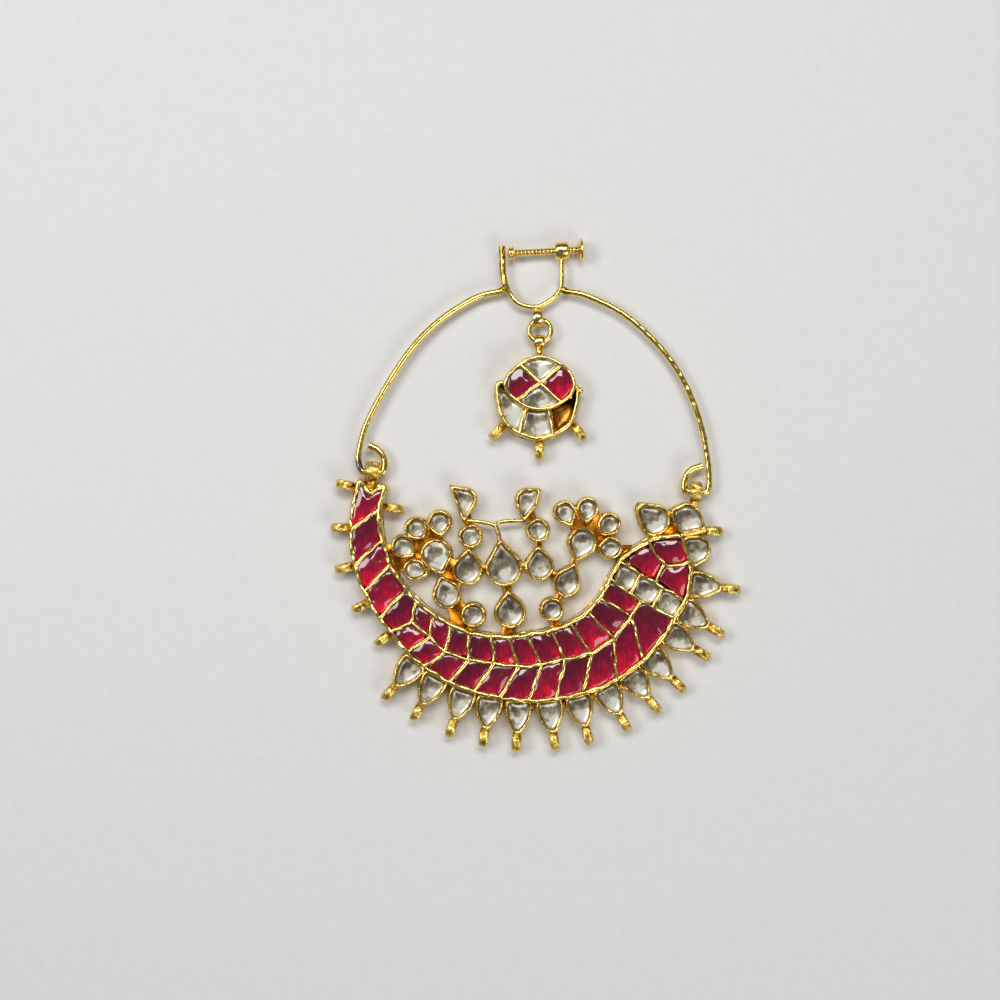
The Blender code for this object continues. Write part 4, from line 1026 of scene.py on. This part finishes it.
rings = centre_line + (rings - centre_line) * (0.45 + 0.16 * wave)[..., None]
# The tone is painted shade, darkest in the thread's groove and bright on its ridge
screw = [skin(rings, tone=0.05 + 0.95 * wave), skin(turned(NUT, SCREW_AXIS, THUMB, 40), tone=0.9)]
piece("clip_screw_thread", screw, wire_gold, "screw", ["clip_screw"])
pad = [skin(turned(NUT, SCREW_AXIS, PAD, 32), tone=0.9)]
piece("clip_pad_disc", pad, wire_gold, "screw", ["clip_pad"])

# %% [markdown]
# ## Jump ring
# A ring of round wire, bent shut and not soldered: the butt seam is a narrow nick across it.

# %% Jump ring
RING = np.array([2.86, 55.775, HOOP_LEVEL])
RING_RADIUS = 1.82
RING_WIRE = 0.455
SEAM_DEG = 70
turn = 2 * np.pi * np.arange(72) / 72
path = RING + RING_RADIUS * np.stack([np.cos(turn), np.sin(turn), 0 * turn], -1)
seam = np.exp(-((np.degrees(turn) - SEAM_DEG) / 4) ** 2)[:, None]
rings = wire(path, RING_WIRE * (1 - 0.22 * seam), sides=12, closed=True)
ring = [skin(rings, loop=True, tone=0.95 - 0.9 * seam)]
piece("jump_ring_wire", ring, wire_gold, "hoop", ["jump_ring"])

# %% [markdown]
# ## Pendant
# The pendant is an oval box with crossed walls, over a second, crescent-shaped box. One cell
# of the lower box has lost its stone, so its gold floor shows. It is made like the crescent.

# %% Outlines of the pendant
MIDDLE = np.array([2.744, 47.015])
HALF_SIZE = np.array([6.09, 4.64])
DISC_TOP = 4.3
BOWL_TOP = 3.2
DISC_FLOOR = 1.9
BOWL_FLOOR = 0.8
WALL_INSET = 0.30
# Rim of the lower box: angle from straight down and share of the half width
BOWL = np.array([(-91, 1.16), (-61, 1.29), (-41, 1.47), (-21, 1.52), (0, 1.53), (16, 1.48),
                 (37, 1.41), (58, 1.22), (83, 1.09)])
# Rim of the upper box: angle from straight up, clockwise, and share of the full oval
DISC_RIM = np.array([(0, 1.0), (20, 0.97), (40, 0.91), (62, 0.94), (90, 1.0), (115, 0.99),
                     (140, 0.95), (160, 0.98), (180, 1.0), (204, 0.97), (226, 0.93), (248, 0.97),
                     (270, 1.0), (298, 0.93), (321, 0.89), (342, 0.95), (360, 1.0)])


def oval(angle, factor=1.0):
    """Point of the upper box's rim, at an angle in degrees clockwise from straight up."""
    turn = np.radians(angle)
    reach = factor * np.interp(np.mod(angle, 360), *DISC_RIM.T)[..., None]
    return MIDDLE + reach * HALF_SIZE * np.stack([np.sin(turn), np.cos(turn)], -1)


def bowl(angle, share):
    """Point of the lower box: an angle from straight down, a share of the half width."""
    turn = np.radians(angle)
    return MIDDLE + HALF_SIZE[0] * np.stack([share * np.sin(turn), -share * np.cos(turn)], -1)


disc_rim = along(oval(-np.arange(0, 360, 6), 1 - WALL_INSET / HALF_SIZE[1]), STEP, 1, closed=True)
bowl_rows = np.linspace(-91, 83, 30)
bowl_arc = bowl(bowl_rows, np.interp(bowl_rows, *BOWL.T) - WALL_INSET / HALF_SIZE[0])
under = oval(180 - bowl_rows[::-1], 0.94)
bowl_rim = along(np.vstack([bowl_arc, under]), STEP, 1, closed=True)
print("Rims of", len(disc_rim), "and", len(bowl_rim), "points")

# %% Walls, eyes and floors of the pendant
PENDANT_EYE = np.array([2.744, 53.955, HOOP_LEVEL])
NECK = [(0.80, 0.55), (0.95, 0.74), (1.3, 0.72), (1.6, 0.66), (1.9, 0.72), (2.2, 0.92),
        (2.4, 1.10), (2.6, 0.70)]
KNOB_PLACE = np.array([9.55, 45.8, 2.75])
KNOB = [(-0.55, 0.1), (-0.4, 0.42), (0.0, 0.55), (0.4, 0.42), (0.55, 0.1)]
setting = [ridge(disc_rim, 0.32, 0.35, DISC_TOP - 0.03, 300, closed=True, uneven=0.7),
           ridge(bowl_rim, 0.36, 0.3, BOWL_TOP - 0.02, 301, closed=True, flare=0.2, uneven=0.7)]
for number, angle in enumerate((42, 141, 226, 322)):
    path = along([MIDDLE, oval(angle, 0.95)], STEP)
    setting.append(ridge(path, 0.38, DISC_FLOOR, DISC_TOP - 0.06, 310 + number, uneven=0.9))
for number, angle in enumerate((-22.5, 15.5)):
    far = bowl(angle, np.interp(angle, *BOWL.T) - 0.05)
    path = along([oval(180 - angle, 0.93), far], STEP)
    setting.append(ridge(path, 0.38, BOWL_FLOOR, BOWL_TOP - 0.05, 320 + number, uneven=0.9))
rings = band(PENDANT_EYE, ACROSS, 0.76, 1.22, 1.72, 32, squareness=2.1)
setting += [skin(rings, loop=True, tone=0.85 + 0.2 * wobble(rings, 0.8, 280)),
            skin(turned(PENDANT_EYE, (0, -1.0, 0), NECK, 16), tone=0.8),
            skin(turned(KNOB_PLACE, (0, 1.0, 0), KNOB, 14), tone=0.8)]
piece("pendant_walls", setting, box_gold, "hoop", ["pendant_setting"])
eyes = [strip_eye(bowl(angle, share), away_from(angle), 60 + angle)
        for angle, share in ((-41, 1.49), (0, 1.55), (39, 1.42))]
piece("pendant_eyes", eyes, lug_gold, "hoop")
floors = [box_plate(disc_rim, 0.3, DISC_FLOOR, 0.0), box_plate(bowl_rim, 0.0, BOWL_FLOOR, 0.56)]
piece("pendant_back", floors, box_gold, "hoop")

# %% Floor of the empty cell
DISH = np.array([(0.90, -0.45), (1.0, -0.35), (1.0, 1.0), (0.92, 0.45), (0.75, 0.18),
                 (0.5, 0.05), (0.25, 0.0), (0.03, 0.0)])
dish_rows = np.linspace(20, 79, 14)
far = bowl(dish_rows, np.interp(dish_rows, *BOWL.T) - 0.62 / HALF_SIZE[0])
dish = along(np.vstack([far, oval(180 - dish_rows[::-1], 1.03)]), STEP, 1, closed=True)
# Its tone is painted light: dark brown to the upper left, lighter to the lower right, with a painted
# glint low on the right
dish_skin = stone(dish, dish.mean(0), 1.05, 1.1, DISH, 340, 0.0, 0.5, 0.7)
# The second mark darkens a stone's edges, and means solder on gold, so here it is cleared
dish_skin[3][:, 1] = 0.0
piece("empty_cell_floor", [dish_skin], cell_gold, "hoop")

# %% Pendant stones
starts = {"ruby": "pendant_ruby", "white": "pendant_white"}
stone_pieces("pendant", "hoop", starts, 0.55, 330, 0.03, 50)

# %% [markdown]
# ## Floor, light and camera
# The jewel lies on a plain pale floor. Three wide soft lamps stand round the picture, above,
# to the left and below, as the highlights on the wire and the stones show, and a dim world
# keeps the gold's contrast. The camera looks straight down, and its place follows from the
# photo's scale of 0.165 mm a pixel: lens = film * (distance - height) / (pixels * scale).

# %% Floor
bpy.ops.mesh.primitive_plane_add(size=3.0)
floor = bpy.context.object
floor.name = "floor"
floor_material, tree, shader = new_material("floor")
pale = ramp(tree, noise(tree, 2.0), (0.3, (0.76, 0.75, 0.73)), (0.7, (0.79, 0.78, 0.76)))
wired(tree, shader, {"Base Color": pale, "Roughness": 0.85})
floor.data.materials.append(floor_material)
print("Floor of", tuple(floor.dimensions)[:2], "m")

# %% Lamps and world
#                   place                 size         power
LAMPS = {"upper": ((0.02, 0.25, 0.44), (0.32, 0.13), 1.15),
         "left": ((-0.30, 0.12, 0.40), (0.26, 0.16), 0.85),
         "lower": ((0.30, -0.30, 0.36), (0.36, 0.28), 0.95)}
AIM = np.array([0.0, 0.028, 0.0])
for name, (place, size, power) in LAMPS.items():
    light = bpy.data.lights.new(f"{name}_lamp", "AREA")
    light.shape = "RECTANGLE"
    light.size, light.size_y = size
    light.energy = power
    lamp = bpy.data.objects.new(f"{name}_lamp", light)
    lamp.location = place
    way = np.array(place) - AIM
    lean = math.atan2(math.hypot(way[0], way[1]), way[2])
    lamp.rotation_euler = (lean, 0, math.atan2(way[1], way[0]) + math.pi / 2)
    bpy.context.scene.collection.objects.link(lamp)
world = bpy.data.worlds.new("studio")
world.use_nodes = True
wired(world.node_tree, world.node_tree.nodes["Background"],
      {"Color": (0.9, 0.95, 1.0, 1.0), "Strength": 0.13})
bpy.context.scene.world = world
print(len(LAMPS), "lamps")

# %% Camera
PIXEL = 0.165
PICTURE = 1000
FILM = 36.0
DISTANCE = 280.0
SHARP_HEIGHT = 3.45
CENTRE = (-3.795, 27.72)
camera = bpy.data.cameras.new("camera")
camera.lens = FILM * (DISTANCE - SHARP_HEIGHT) / (PICTURE * PIXEL)
camera.clip_start = 0.01
viewer = bpy.data.objects.new("camera", camera)
viewer.location = (CENTRE[0] * MILLIMETRE, CENTRE[1] * MILLIMETRE, DISTANCE * MILLIMETRE)
bpy.context.scene.collection.objects.link(viewer)
bpy.context.scene.camera = viewer
bpy.context.scene.view_settings.view_transform = "Standard"
print("Lens:", round(camera.lens, 1), "mm, triangles added:", triangle_count)
